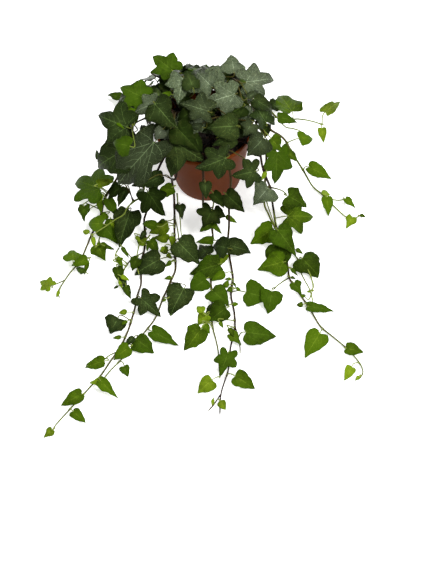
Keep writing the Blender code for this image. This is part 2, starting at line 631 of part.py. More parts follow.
def leaf_mesh(spec, frame, line):
    """A closed leaf: the blade, with its three-sided petiole drawn out of the short edge at its neck."""
    bm = blade_mesh(spec, frame, BLADE)
    bmesh.ops.triangulate(bm, faces=bm.faces[:])
    neck = line[0]
    across, facing = frame[2], frame[3]
    ends = [f for f in bm.faces if max((v.co - neck).length for v in f.verts) < 1.4 * PETIOLE_RADIUS]
    end = max(ends, key=lambda f: f.calc_center_median().dot(facing))
    turns = sorted(math.atan2((v.co - neck).dot(facing), (v.co - neck).dot(across)) for v in end.verts)
    order = {turn: index for index, turn in enumerate(turns)}
    corners = []
    for vertex in end.verts:
        turn = order[math.atan2((vertex.co - neck).dot(facing), (vertex.co - neck).dot(across))]
        angle = math.radians(FIRST_CORNER + 120 * turn)
        corners.append((math.cos(angle) * PETIOLE_RADIUS, math.sin(angle) * PETIOLE_RADIUS))
    for before, place, after in zip(line, line[1:], line[2:] + line[-1:]):
        heading = ((place - before).normalized() + (after - before).normalized()).normalized()
        wide = (across - heading * across.dot(heading)).normalized()
        high = heading.cross(wide)
        (end,) = bmesh.ops.extrude_discrete_faces(bm, faces=[end])["faces"]
        for vertex, (u, v) in zip(end.verts, corners):
            vertex.co = place + wide * u + high * v
    bmesh.ops.triangulate(bm, faces=bm.faces[:])
    bmesh.ops.recalc_face_normals(bm, faces=bm.faces[:])
    return bm


def petiole_line(spec, frame, sag):
    """The petiole's way: from the blade's neck, in a bow, to the middle of its stem."""
    root = spec["root"]
    neck = blade_point(spec, frame, 0, 0.0)
    along = (frame[1] - frame[0]).normalized()
    reach = (neck - root).length
    straight = (neck - root).dot(along) > 0.5 * reach
    if straight and reach < STRAIGHT_REACH:
        return [neck, root]
    if straight:
        return [neck, (root + neck) / 2 + Vector((0, 0, 1)) * (sag * reach), root]
    bend = min(NECK_BEND, 0.35 * reach)
    back = neck - along * bend - frame[3] * (bend * 0.6)
    if reach < BOWED_REACH:
        return [neck, back, root]
    return [neck, back, (root + back) / 2 + Vector((0, 0, 1)) * (sag * reach), root]


# Keeping pieces clear of each other

class Clear:
    """The closed bodies placed so far, with the node each belongs to."""

    def __init__(self):
        self.bodies = []

    def add(self, node, kind, bm):
        points = [v.co for v in bm.verts]
        low = Vector([min(p[i] for p in points) for i in range(3)])
        high = Vector([max(p[i] for p in points) for i in range(3)])
        self.bodies.append((node, kind, low, high, BVHTree.FromBMesh(bm)))

    def near(self, low, high, skip):
        for node, kind, low_b, high_b, tree in self.bodies:
            if skip(node, kind):
                continue
            if all(low[i] <= high_b[i] and high[i] >= low_b[i] for i in range(3)):
                yield tree

    def blade_fits(self, bm):
        points = [v.co for v in bm.verts]
        low = Vector([min(p[i] for p in points) for i in range(3)])
        high = Vector([max(p[i] for p in points) for i in range(3)])
        if low.z < LOWEST:
            return False
        tree = BVHTree.FromBMesh(bm)
        return not any(tree.overlap(other) for other in self.near(low, high, lambda name, kind: False))

    def rod_fits(self, node, line, radius, skip):
        """Whether a petiole is clear of the bodies; its node's own ones are not tested near its root."""
        margin = Vector((1, 1, 1)) * radius
        low = Vector([min(p[i] for p in line) for i in range(3)]) - margin
        high = Vector([max(p[i] for p in line) for i in range(3)]) + margin
        trees = list(self.near(low, high, lambda name, kind: name == node or skip(name, kind)))
        own = list(self.near(low, high, lambda name, kind: name != node or skip(name, kind)))
        for a, b in zip(line, line[1:]):
            steps = max(1, math.ceil((b - a).length / (1.2 * MM)))
            for i in range(steps + 1):
                place = a.lerp(b, i / steps)
                if place.z < radius:
                    return False
                tested = trees if (place - line[-1]).length < ROOT_ZONE else trees + own
                if any(tree.find_nearest(place, radius)[0] is not None for tree in tested):
                    return False
        return True


def passes_under(line, blade):
    """Whether a petiole stays clear of its own blade past its first 2 mm."""
    travelled = 0
    for a, b in zip(line, line[1:]):
        steps = max(1, math.ceil((b - a).length / (1 * MM)))
        for i in range(steps):
            place = a.lerp(b, (i + 1) / steps)
            travelled += (b - a).length / steps
            room = min(travelled * 0.45, PETIOLE_RADIUS * 1.5)
            if travelled > 2 * MM and blade.find_nearest(place, room)[0] is not None:
                return False
    return True


LIFTS = [0, 3, -3, 6, -6, 9, 12, -9, 16, 20, -12, 25, -16, 30, -21, 36]
ROLLS = [0, 14, -14]
SAGS = [0.10, -0.06, 0.24]


def variants(spec):
    """The places tried for a leaf, in order: lifts along the sight, then rolls, then petiole bows."""
    for lift in LIFTS:
        for roll in ROLLS:
            frame = frame_of(spec, lift * MM, math.radians(roll))
            for sag in SAGS:
                yield frame, sag


def place_leaf(clear, node, spec):
    """The first variant of a leaf whose blade is clear of all bodies and whose petiole is clear of all but its
    own stem, or else of all but its own node."""
    own_stem = [lambda name, kind: name == node and kind == "stem", lambda name, kind: name == node]
    for skip_rod in own_stem:
        tried = None
        for frame, sag in variants(spec):
            if frame is not tried:
                tried = frame
                bm = blade_mesh(spec, frame, BLADE + 2 * CLEARANCE)
                blade_ok = clear.blade_fits(bm)
                bm.free()
            if not blade_ok:
                continue
            line = petiole_line(spec, frame, sag)
            own = blade_mesh(spec, frame, BLADE)
            tree = BVHTree.FromBMesh(own)
            own.free()
            if passes_under(line, tree) and clear.rod_fits(node, line, PETIOLE_RADIUS + CLEARANCE, skip_rod):
                return frame, line
    return None


# Objects

def new_object(name, mesh, collection):
    obj = bpy.data.objects.new(name, mesh)
    collection.objects.link(obj)
    return obj


def mesh_of(bm, name):
    mesh = bpy.data.meshes.new(name)
    bm.to_mesh(mesh)
    bm.free()
    return mesh


def evaluated_mesh(obj):
    """The object's mesh with its modifiers applied."""
    bpy.context.view_layer.update()
    graph = bpy.context.evaluated_depsgraph_get()
    return bpy.data.meshes.new_from_object(obj.evaluated_get(graph))


def rod_mesh(name, line, radii, collection):
    """A four-sided tube along a line, from a curve with filled caps."""
    curve = bpy.data.curves.new(name, "CURVE")
    curve.dimensions = "3D"
    curve.bevel_depth = 1.0
    curve.bevel_resolution = 0
    curve.use_fill_caps = True
    spline = curve.splines.new("POLY")
    spline.points.add(len(line) - 1)
    for point, place, radius in zip(spline.points, line, radii):
        point.co = (*place, 1)
        point.radius = radius
    obj = new_object(name, curve, collection)
    mesh = evaluated_mesh(obj)
    bpy.data.objects.remove(obj)
    bm = bmesh.new()
    bm.from_mesh(mesh)
    bmesh.ops.remove_doubles(bm, verts=bm.verts[:], dist=0.00001)
    bmesh.ops.triangulate(bm, faces=bm.faces[:])
    return bm


def material(name, colour, roughness):
    made = bpy.data.materials.new(name)
    made.use_nodes = True
    shader = made.node_tree.nodes["Principled BSDF"]
    shader.inputs["Base Color"].default_value = (*colour, 1)
    shader.inputs["Roughness"].default_value = roughness
    shader.inputs["Metallic"].default_value = 0.0
    return made


def add_boolean(obj, operation, collection):
    boolean = obj.modifiers.new(operation.title(), "BOOLEAN")
    boolean.operation = operation
    boolean.operand_type = "COLLECTION"
    boolean.collection = collection
    boolean.solver = "MANIFOLD"


def drop_scraps(bm):
    """Keeps the largest shell, which fills a pocket that the union sealed and drops a loose scrap."""
    left = set(bm.verts)
    shells = []
    while left:
        shell = set()
        edge = [left.pop()]
        while edge:
            vertex = edge.pop()
            shell.add(vertex)
            beside = {e.other_vert(vertex) for e in vertex.link_edges} & left
            left -= beside
            edge += beside
        shells.append(shell)
    shells.sort(key=len)
    for shell in shells[:-1]:
        bmesh.ops.delete(bm, geom=list(shell), context="VERTS")


def apply_modifiers(obj):
    """Keeps the evaluated mesh and drops the modifiers. Edges inside flat faces go where it stays closed."""
    mesh = evaluated_mesh(obj)
    obj.modifiers.clear()
    for flat_limit in (0.4, 0.05, None):
        bm = bmesh.new()
        bm.from_mesh(mesh)
        drop_scraps(bm)
        if flat_limit:
            limit = math.radians(flat_limit)
            bmesh.ops.dissolve_limit(bm, angle_limit=limit, verts=bm.verts[:], edges=bm.edges[:])
        bmesh.ops.triangulate(bm, faces=bm.faces[:])
        closed = all(edge.is_manifold for edge in bm.edges)
        if closed or flat_limit is None:
            bm.to_mesh(mesh)
            bm.free()
            break
        bm.free()
    obj.data = mesh


def empty_collection(name):
    made = bpy.data.collections.new(name)
    bpy.context.scene.collection.children.link(made)
    return made


def drop_collection(collection):
    for obj in list(collection.objects):
        bpy.data.objects.remove(obj)
    bpy.data.collections.remove(collection)


def turned(name, profile, sides, collection):
    """A body turned round Z from a profile of (radius, height) whose ends lie on the axis."""
    mesh = bpy.data.meshes.new(name)
    edges = [(i, i + 1) for i in range(len(profile) - 1)]
    mesh.from_pydata([(r, 0, z) for r, z in profile], edges, [])
    obj = new_object(name, mesh, collection)
    screw = obj.modifiers.new("Turn", "SCREW")
    screw.steps = sides
    screw.render_steps = sides
    screw.use_merge_vertices = True
    screw.merge_threshold = 0.00001
    apply_modifiers(obj)
    return obj


def cylinder_cutter(name, place, radius, low, high, sides, collection):
    bm = bmesh.new()
    bmesh.ops.create_cone(bm, cap_ends=True, segments=sides, radius1=radius, radius2=radius, depth=high - low)
    obj = new_object(name, mesh_of(bm, name), collection)
    obj.location = (place[0], place[1], (low + high) / 2)
    obj.hide_render = True
    obj.display_type = "WIRE"


def outer_radius(height):
    return BASE_RADIUS + (RIM_RADIUS - LIP_WALL + WALL - BASE_RADIUS) * height / (POT_HEIGHT - LIP_DEPTH)


def make_pot(parts, looks):
    """The tapered pot: a thicker rounded lip, a thin wall and a flat base with drain holes round its middle."""
    lip_low = POT_HEIGHT - LIP_DEPTH
    inner_lip = RIM_RADIUS - LIP_WALL
    half = LIP_WALL / 2
    rounding = [(inner_lip + half - half * math.cos(math.radians(a)),
                 POT_HEIGHT - half + half * math.sin(math.radians(a))) for a in range(0, 181, 60)]
    profile = [(0, FLOOR_THICKNESS), (outer_radius(FLOOR_THICKNESS) - WALL - 3 * MM, FLOOR_THICKNESS)]
    profile += [(outer_radius(5 * MM) - WALL, FLOOR_THICKNESS + 3 * MM), (outer_radius(lip_low) - WALL, lip_low)]
    profile += rounding
    profile += [(RIM_RADIUS, lip_low + 1 * MM), (outer_radius(lip_low), lip_low - 0.6 * MM)]
    profile += [(outer_radius(2.5 * MM), 2.5 * MM), (BASE_RADIUS - 1.5 * MM, 0.5 * MM)]
    profile += [(BASE_RADIUS - 3 * MM, 0), (0, 0)]
    pot = turned("pot", profile, POT_SIDES, parts)
    drains = empty_collection("drain cutters")
    for i in range(DRAIN_HOLES):
        turn = math.tau * i / DRAIN_HOLES
        place = (DRAIN_CIRCLE * math.cos(turn), DRAIN_CIRCLE * math.sin(turn))
        cylinder_cutter(f"drain_{i}", place, DRAIN_RADIUS, -5 * MM, 10 * MM, 8, drains)
    add_boolean(pot, "DIFFERENCE", drains)
    apply_modifiers(pot)
    drop_collection(drains)
    pot.data.materials.clear()
    pot.data.materials.append(looks)
    pot.data.shade_smooth()
    pot.data.set_sharp_from_angle(angle=math.radians(35))
    return pot


def soil_height(x, y):
    """The soil's uneven top."""
    bumps = math.sin(x * 240 + 1.3) * math.cos(y * 210) + 0.6 * math.sin(x * 520 + y * 430)
    return SOIL_TOP + SOIL_BUMP * 0.5 * bumps


def make_soil(parts, looks, holes):
    """The soil that fills the pot, with a plain hole for each stem."""
    low = FLOOR_THICKNESS + GAP
    knee = FLOOR_THICKNESS + 3.5 * MM
    gap = WALL + GAP + 0.35 * MM
    top = outer_radius(SOIL_TOP) - gap
    profile = [(0, SOIL_TOP)] + [(top * share, SOIL_TOP) for share in (0.35, 0.7, 1.0)]
    profile += [(outer_radius(knee) - gap, knee), (outer_radius(low) - gap - 3.5 * MM, low), (0, low)]
    soil = turned("soil", profile, SOIL_SIDES, parts)
    for vertex in soil.data.vertices:
        if vertex.co.z > SOIL_TOP - 1 * MM:
            vertex.co.z = soil_height(vertex.co.x, vertex.co.y)
    cutters = empty_collection("stem hole cutters")
    for i, hole in enumerate(holes):
        place = (hole[0] * MM, hole[1] * MM)
        deep = SOIL_TOP - BURIED - GAP
        cylinder_cutter(f"hole_{i}", place, STEM_RADIUS + HOLE_CLEARANCE, deep, SOIL_TOP + 9 * MM, HOLE_SIDES,
                        cutters)
    add_boolean(soil, "DIFFERENCE", cutters)
    apply_modifiers(soil)
    drop_collection(cutters)
    soil.data.materials.clear()
    soil.data.materials.append(looks)
    return soil


def stem_radii(count, first, last):
    """Radii that shrink evenly along a stem."""
    return [first + (last - first) * i / (count - 1) for i in range(count)]


def lines_of(spec, trail):
    """A node's lines: its main stem, then its side shoots, which start inside the main stem."""
    lines = [stem_line(spec["hole"], spec.get("over", spec.get("reach")), trail)]
    for shoot in spec.get("shoots", []):
        root = nearest_seen(lines[0], *shoot[0])
        rise = root.z + 2.5 * MM
        lines.append([root] + smooth([at(x, y, rise) for x, y in shoot[1:]], SEGMENT))
    return lines


def subdivided(line, spacing):
    """Points about one spacing apart along the straight runs of a line."""
    places = []
    for a, b in zip(line, line[1:]):
        steps = max(1, round((b - a).length / spacing))
        places += [a.lerp(b, i / steps) for i in range(steps)]
    return places


def spread_roots(leaves, lines):
    """Slides the petioles' roots along their stem until no two stand closer than the root spacing."""
    taken = []
    for spec in leaves:
        start = spec["root"]
        line = min(lines, key=lambda points: (nearest_place(points, start) - start).length)
        places = subdivided(line[1:], ROOT_SPACING)
        places.sort(key=lambda place: (place - start).length)
        spec["root"] = next(p for p in places if all((p - q).length > ROOT_SPACING * 0.9 for q in taken))
        taken.append(spec["root"])


def all_specs():
    """Every stem with its lines and leaves."""
    specs = {}
    for number, (name, spec) in enumerate([*TRAILS.items(), *CROWNS.items(), *BACKS.items()]):
        dice = random.Random(100 + number)
        if name in TRAILS:
            lines = lines_of(spec, seen_trail(spec))
            leaves = [trailing_leaf(row, lines, dice) for row in spec["leaves"]]
        elif name in CROWNS:
            lines = lines_of(spec, [])
            leaves = [crown_leaf(row, lines, dice) for row in spec["leaves"]] + inner_leaves(lines, dice)
        else:
            lines = lines_of(spec, [millimetres(p) for p in spec["trail"]])
            leaves = back_leaves(spec, lines, dice)
        spread_roots(leaves, lines)
        specs[name] = {"hole": spec["hole"], "lines": lines, "leaves": leaves}
    return specs


def main():
    for obj in list(bpy.data.objects):
        bpy.data.objects.remove(obj)
    parts = empty_collection("potted english ivy")
    clay = material("terracotta plastic", (0.23, 0.075, 0.05), 0.55)
    earth = material("potting soil", (0.02, 0.014, 0.01), 0.95)
    green = material("ivy green", (0.06, 0.14, 0.035), 0.45)

    specs = all_specs()
    clear = Clear()
    for obj in (make_pot(parts, clay), make_soil(parts, earth, [s["hole"] for s in specs.values()])):
        bm = bmesh.new()
        bm.from_mesh(obj.data)
        clear.add(obj.name, "holder", bm)
        bm.free()

    bodies = {name: empty_collection("bodies of " + name) for name in specs}
    stems = {}
    for name, spec in specs.items():
        for i, line in enumerate(spec["lines"]):
            first = SHOOT_RADIUS if i else STEM_RADIUS
            bm = rod_mesh(name, line, stem_radii(len(line), first, TIP_RADIUS), parts)
            clear.add(name, "stem", bm)
            mesh = mesh_of(bm, name)
            if i:
                new_object(f"{name}_shoot_{i}", mesh, bodies[name])
            else:
                stems[name] = new_object(name, mesh, parts)

    dropped = []
    for name, spec in specs.items():
        for i, leaf_spec in enumerate(spec["leaves"]):
            found = place_leaf(clear, name, leaf_spec)
            if found is None:
                dropped.append((name, i))
                continue
            frame, line = found
            bm = leaf_mesh(leaf_spec, frame, line)
            clear.add(name, "leaf", bm)
            new_object(f"{name}_leaf_{i}", mesh_of(bm, "leaf"), bodies[name])
    print("leaves with no clear place:", dropped)

    for name, stem in stems.items():
        add_boolean(stem, "UNION", bodies[name])
        apply_modifiers(stem)
        drop_collection(bodies[name])
        stem.data.materials.clear()
        stem.data.materials.append(green)


main()
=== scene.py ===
"""The looks of a potted English ivy that stands on a surface, with its long stems lying along that surface.

Units are metres, +Z is up, and the viewer stands toward -Y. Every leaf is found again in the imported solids,
by the same pixels and rules that placed it, and gets a fine, veined blade and a round petiole in its place.
"""

import json
import math
import random

import bmesh
import bpy
import numpy as np
from mathutils import Matrix, Vector, noise
from mathutils.kdtree import KDTree

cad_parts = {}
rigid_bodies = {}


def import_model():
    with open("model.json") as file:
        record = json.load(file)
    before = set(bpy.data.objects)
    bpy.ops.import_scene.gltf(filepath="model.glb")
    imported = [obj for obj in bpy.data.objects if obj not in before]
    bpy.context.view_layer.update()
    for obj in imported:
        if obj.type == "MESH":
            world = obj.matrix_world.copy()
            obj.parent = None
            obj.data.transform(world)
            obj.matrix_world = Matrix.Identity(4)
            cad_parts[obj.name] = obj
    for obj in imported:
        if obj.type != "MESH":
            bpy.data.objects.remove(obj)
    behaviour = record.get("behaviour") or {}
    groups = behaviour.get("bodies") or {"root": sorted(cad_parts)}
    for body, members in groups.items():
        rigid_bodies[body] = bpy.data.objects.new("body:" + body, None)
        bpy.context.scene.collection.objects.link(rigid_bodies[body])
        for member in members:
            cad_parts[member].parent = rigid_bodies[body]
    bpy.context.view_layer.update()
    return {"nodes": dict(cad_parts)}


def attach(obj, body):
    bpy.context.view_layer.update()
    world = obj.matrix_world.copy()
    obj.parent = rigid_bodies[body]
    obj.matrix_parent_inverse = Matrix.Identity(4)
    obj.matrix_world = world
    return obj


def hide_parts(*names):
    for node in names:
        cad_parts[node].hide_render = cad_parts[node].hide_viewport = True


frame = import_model()

MM = 0.001
SKYWARD = Vector((0, 0, 1))

# Seeds of the dice: for the places of a stem's leaves, for their finer shapes, and for the crumbs
PLACE_SEED, SHAPE_SEED, CRUMB_SEED = 100, 500, 7

# Pot and soil
RIM_RADIUS = 60 * MM
BASE_RADIUS = 41.5 * MM
POT_HEIGHT = 98 * MM
WALL = 2.0 * MM
LIP_WALL = 3.0 * MM
LIP_DEPTH = 5.0 * MM
LIP_EDGE = 0.5 * MM
LIP_FLAT = 0.7 * MM
LIP_STEP = (0.15 * MM, 0.1 * MM)
FLOOR_THICKNESS = 2.4 * MM
FOOT_ROUND = 1.8 * MM
FLOOR_ROUND = 2.2 * MM
POT_STEPS = 160
POT_CREASE = 50
DRAIN_HOLES = 6
DRAIN_RADIUS = 4.5 * MM
DRAIN_CIRCLE = 25 * MM
DRILL_LENGTH = 20 * MM
DRILL_SIDES = 32
SOIL_DEPTH_UNDER_LIP = 12 * MM
SOIL_BUMP = 1.3 * MM
SOIL_TOP = POT_HEIGHT - SOIL_DEPTH_UNDER_LIP
SOIL_GAP = 0.65 * MM
SOIL_LIFT = 0.3 * MM
SOIL_ROUND = 3.5 * MM
SOIL_RINGS = 30
SOIL_STEPS = 96
SOIL_CREASE = 60
SOIL_LUMPS = 260
CRUMBS = 520
CRUMB_SIZES = (0.5, 1.3)
BARK_BIT_SIZES = (1.4, 2.4)
CRUMB_STRETCHES = ((0.8, 2.2), (0.7, 1.1), (0.5, 0.9))
CRUMB_TILT = 0.4
CRUMB_LIFT = 0.25
CRUMB_KNOB_WAVES = 900
CRUMB_KNOBS = 0.35
CRUMB_MARGIN = 3 * MM

# Waves of the soil's top: two slow ones and a finer slanting one, in radians a metre
SOIL_WAVES = (240, 210)
SOIL_FINER_WAVES = (520, 430)

# Stems and petioles. Roots of petioles keep apart along their stem.
STEM_RADIUS = 1.5 * MM
SHOOT_RADIUS = 0.8 * MM
PETIOLE_RADIUS = 0.6 * MM
BURIED = 15 * MM
COLLAR = 5 * MM
FLOOR_HEIGHT = 3.0 * MM
SHOOT_RISE = 2.5 * MM
SEGMENT = 21 * MM
ROOT_SPACING = 3.2 * MM
ROOT_SLACK = 0.9
BLADE = 0.7 * MM

# How leaves are held: a trailing one rises from its root and droops to its tip, and a crown one follows the
# dome. By shares, a trailing one faces the sky, the viewer and outward, and a crown one outward and the
# viewer.
LEAF_RISE = 6 * MM
RISE_PER_PIXEL = 0.35 * MM
RISE_SPREAD = 4 * MM
TIP_DROP = 0.42
TIP_HEIGHT = 3.5 * MM
TRAIL_FACING = (0.75, 0.5, 0.15)
TRAIL_FACING_SPREAD = 0.22
CROWN_FACING = (0.55, 0.6)
CROWN_FACING_SPREAD = 0.15
CROWN_TIP_SCALE = 0.95
RULE_WIDTHS = {"star": 1.1, "tri": 0.95, "heart": 0.8}

# Leaves of the far side on the dome: turned round by the golden share, and hanging outward and to a side
BACK_LEAVES_ON_DOME = 9
BACK_SCALE = 0.78
BACK_LENGTHS = (34 * MM, 45 * MM)
GOLDEN_SHARE = 0.618
LOWEST_RISE = -6
HIGHEST_RISE = 66
RISE_JITTER = 4
BACK_OUTWARD = 0.7
BACK_SIDEWAYS = 0.8
BACK_DROP = 0.875
BACK_FLATTENED = 0.8
BACK_TILT = 0.25

# Leaves of the far side beside the last points of their trail, by turns left and right
BACK_TRAIL_POINTS = 5
BACK_TRAIL_LENGTHS = (18 * MM, 26 * MM)
BACK_TRAIL_BESIDE = 12 * MM
BACK_TRAIL_ABOVE = 9 * MM
BACK_TRAIL_LEAST = 11 * MM
BACK_TRAIL_AHEAD = 0.5
BACK_TRAIL_DIP = 0.28
BACK_TRAIL_TILT = 0.2

# The one shaded leaf at each crown stem's top
INNER_LENGTHS = (26 * MM, 34 * MM)
INNER_TURN = 70
INNER_OUT = 9 * MM
INNER_ASIDE = 10 * MM
INNER_SLOPE = 0.1

# How petioles bend: the short ones are straight and the long ones leave the neck under the blade
NECK_BEND = 5 * MM
NECK_SHARE = 0.35
NECK_DROP = 0.6
STRAIGHT_SHARE = 0.5
STRAIGHT_REACH = 14 * MM
BOWED_REACH = 30 * MM

# How old a leaf is, which sets how much its blade arches along and across
ELDEST, OLD, MID, YOUNG, NEW = 1.0, 0.85, 0.6, 0.3, 0.1
ARCH_ALONG = (0.10, 0.12)
ARCH_ACROSS = (0.16, 0.18)

# Half outlines of the blades, from under the tip to beside the neck, for a length of 1: (across, along)
OUTLINES = {
    "star": [(0.26, 0.52), (0.60, 0.44), (0.45, 0.10), (0.40, -0.20)],
    "tri": [(0.29, 0.50), (0.52, 0.24), (0.32, -0.12)],
    "broad": [(0.28, 0.63), (0.46, 0.24), (0.32, -0.08)],
    "heart": [(0.38, 0.50), (0.42, 0.00)],
    "small": [(0.40, 0.22)],
}
LARGE = 29 * MM
WIDTHS = {form: 2 * max(x for x, y in outline) for form, outline in OUTLINES.items()}

# The places tried for a leaf when it was packed: lifts in mm, rolls in degrees and bows of its petiole
LIFTS = [0, 3, -3, 6, -6, 9, 12, -9, 16, 20, -12, 25, -16, 30, -21, 36]
ROLLS = [0, 14, -14]
SAGS = [0.10, -0.06, 0.24]

# How a packed leaf is known again: by how many of its corners are there, and how near
MATCH = 0.07 * MM
MATCHED_SHARE = 0.7
RING_CORNERS = 3

# The fine blades: half outlines from tip to neck in runs that meet at sharp points, for a length of 1
EDGES = {
    "star": [
        [(0, 1), (0.075, 0.900), (0.155, 0.770), (0.208, 0.655), (0.232, 0.570), (0.238, 0.510)],
        [(0.238, 0.510), (0.32, 0.522), (0.44, 0.520), (0.54, 0.490), (0.605, 0.447)],
        [(0.605, 0.447), (0.582, 0.350), (0.525, 0.245), (0.455, 0.165), (0.405, 0.115)],
        [(0.405, 0.115), (0.455, 0.045), (0.472, -0.045), (0.445, -0.135), (0.385, -0.195), (0.30, -0.210),
         (0.19, -0.165), (0.08, -0.075), (0.02, -0.012)],
    ],
    "scalloped": [
        [(0, 1), (0.03, 0.965), (0.09, 0.91), (0.17, 0.865), (0.25, 0.83), (0.30, 0.775), (0.325, 0.72),
         (0.375, 0.69), (0.46, 0.68), (0.535, 0.635), (0.575, 0.56), (0.575, 0.47), (0.53, 0.39),
         (0.455, 0.33), (0.41, 0.27)],
        [(0.41, 0.27), (0.46, 0.22), (0.49, 0.12), (0.475, 0.00), (0.42, -0.10), (0.33, -0.165),
         (0.22, -0.165), (0.11, -0.09), (0.02, -0.012)],
    ],
    "tri": [
        [(0, 1), (0.07, 0.885), (0.165, 0.715), (0.25, 0.575), (0.315, 0.480), (0.40, 0.395), (0.475, 0.325),
         (0.52, 0.247)],
        [(0.52, 0.247), (0.515, 0.14), (0.465, 0.02), (0.38, -0.08), (0.27, -0.120), (0.15, -0.095),
         (0.06, -0.040), (0.02, -0.008)],
    ],
    "broad": [
        [(0, 1), (0.045, 0.95), (0.12, 0.83), (0.20, 0.725), (0.285, 0.635), (0.365, 0.49), (0.43, 0.345),
         (0.475, 0.25), (0.468, 0.14), (0.425, 0.04), (0.36, -0.04), (0.28, -0.072), (0.18, -0.068),
         (0.08, -0.038), (0.02, -0.006)],
    ],
    "heart": [
        [(0, 1), (0.05, 0.945), (0.13, 0.83), (0.25, 0.675), (0.36, 0.51), (0.43, 0.34), (0.452, 0.19),
         (0.43, 0.06), (0.355, -0.02), (0.25, -0.05), (0.14, -0.042), (0.05, -0.015), (0.02, -0.004)],
    ],
    "small": [
        [(0, 1), (0.07, 0.91), (0.19, 0.74), (0.31, 0.53), (0.385, 0.34), (0.39, 0.19), (0.31, 0.06),
         (0.18, 0.0), (0.06, -0.005), (0.02, 0.0)],
    ],
}
HEART = Vector((0, 0.27))
FINE_LENGTH = 17 * MM
FINE_SPACING = 0.05
PLAIN_SPACING = 0.13
FINE_RINGS = (0.10, 0.22, 0.34, 0.46, 0.58, 0.69, 0.79, 0.88, 0.95, 1.0)
PLAIN_RINGS = (0.35, 0.7, 1.0)
UNDER_RINGS = (0.3, 0.6, 0.85, 1.0)

# Main veins: way from the neck, how many finer ones leave each side, and how far they reach
VEINS = {
    "star": [([(0, 0), (0, 0.3), (0, 0.96)], 5, 0.27), ([(0, 0), (0.20, 0.19), (0.54, 0.43)], 3, 0.30),
             ([(0, 0), (0.15, -0.02), (0.38, -0.15)], 2, 0.30)],
    "scalloped": [([(0, 0), (0, 0.3), (0, 0.96)], 5, 0.27), ([(0, 0), (0.20, 0.24), (0.50, 0.56)], 3, 0.30),
                  ([(0, 0), (0.18, 0.02), (0.42, 0.05)], 2, 0.30)],
    "tri": [([(0, 0), (0, 0.3), (0, 0.96)], 5, 0.27), ([(0, 0), (0.19, 0.13), (0.46, 0.235)], 3, 0.30),
            ([(0, 0), (0.13, -0.02), (0.30, -0.09)], 1, 0.30)],
    "broad": [([(0, 0), (0.004, 0.4), (0, 0.97)], 5, 0.32),
              ([(0, 0), (0.12, 0.10), (0.23, 0.25), (0.285, 0.38), (0.27, 0.50)], 3, 0.34),
              ([(0, 0), (0.14, 0.00), (0.28, 0.05), (0.38, 0.15)], 2, 0.24)],
    "heart": [([(0, 0), (0, 0.4), (0, 0.97)], 4, 0.30),
              ([(0, 0), (0.12, 0.10), (0.22, 0.24), (0.27, 0.36), (0.25, 0.48)], 2, 0.32),
              ([(0, 0), (0.13, 0.00), (0.26, 0.05), (0.36, 0.15)], 1, 0.24)],
    "small": [([(0, 0), (0, 0.4), (0, 0.95)], 2, 0.24), ([(0, 0), (0.12, 0.12), (0.23, 0.33)], 0, 0)],
}
VEIN_SHARES = (1, 0.75, 0.5)
VEIN_WIDTH = 0.026
VEIN_END_WIDTH = 0.28

# Finer veins: where the first leaves its main vein, how those of the two sides stand apart, how much the
# last are shortened, their widths at both ends, and the two steps of their way, each outward and ahead
SIDE_VEIN_FIRST = 0.1
SIDE_VEIN_APART = 0.15
SIDE_VEIN_SHORTENED = 0.72
SIDE_VEIN_WIDTHS = (0.42, 0.2)
SIDE_VEIN_STEPS = ((0.55, 0.32), (0.92, 0.95))

# How veins are drawn: height, spacing of points, where they end, how pale their sides and the middle of the
# blade are, and how slowly the mark of nearness falls away from them
VEIN_HEIGHT = 0.0035
VEIN_SPACING = 0.05
VEIN_END = 0.96
NECK_ROOM = 0.12
VEIN_SIDE = 0.3
VEIN_GLOW = 0.28
VEIN_REACH = 22

# How far a blade departs from its plain form, as shares of its length. A wave has a count and a size.
BLADE_HALF = 0.22 * MM
LOWEST_POINT = 0.1 * MM
LEAST_RIPE = 0.4
HOLLOW = 0.045
LEAN = 0.07
FULLER = 0.07
FOLD = (0.02, 0.4)
TWIST = 0.22
TIP_CURL = (0.1, 0.7)
CURL_START = 0.6
TIP_KEPT = 0.9
EDGE_DRAWS = ((3, 0.025), (5, 0.032), (8, 0.028), (13, 0.02))
EDGE_RIPPLES = ((3, 0.022), (5, 0.022), (9, 0.013), (14, 0.007))

# Leaves that look narrower than their solids, by row, as a share of the width
SEEN_WIDTHS = {"stem_right_back": {0: 0.7, 1: 0.62}, "stem_right_side": {2: 0.85}, "back_left": {12: 0.6}}

# The star leaf that is drawn with rounded lobes
SEEN_FORMS = {"crown_left": {0: "scalloped"}}

# The fine stems, with how old they look at foot and tip, from 0 for green skin to 1 for bark
STEM_FULL = 1.8
STEM_TIP = 0.75 * MM
STEM_STEP = 3 * MM
STEM_EASE = 2
STEM_SIDES = 10
STEM_END = 0.4
SHOOT_BASE_OLDER = 0.15
SHOOT_TIP_YOUNGER = 0.5
PALE_RADIUS = 1.0 * MM
PALE_TAPER = 0.55
PALE_SIDES = 8
PALE_AGES = (0.25, 0.0)
JOINT_LENGTH = 2.2 * MM
JOINT_SWELL = 0.35
STEM_AGES = {
    "stem_left_pale": (0.45, 0.1), "stem_front": (0.75, 0.3), "stem_front_right": (0.6, 0.75),
    "stem_right_low": (0.6, 0.2), "stem_right_side": (0.65, 0.1), "stem_right_back": (0.5, 0.2),
}
GROWN_STEM = (0.95, 0.25)
CROWN_STEM = (1.0, 0.7)

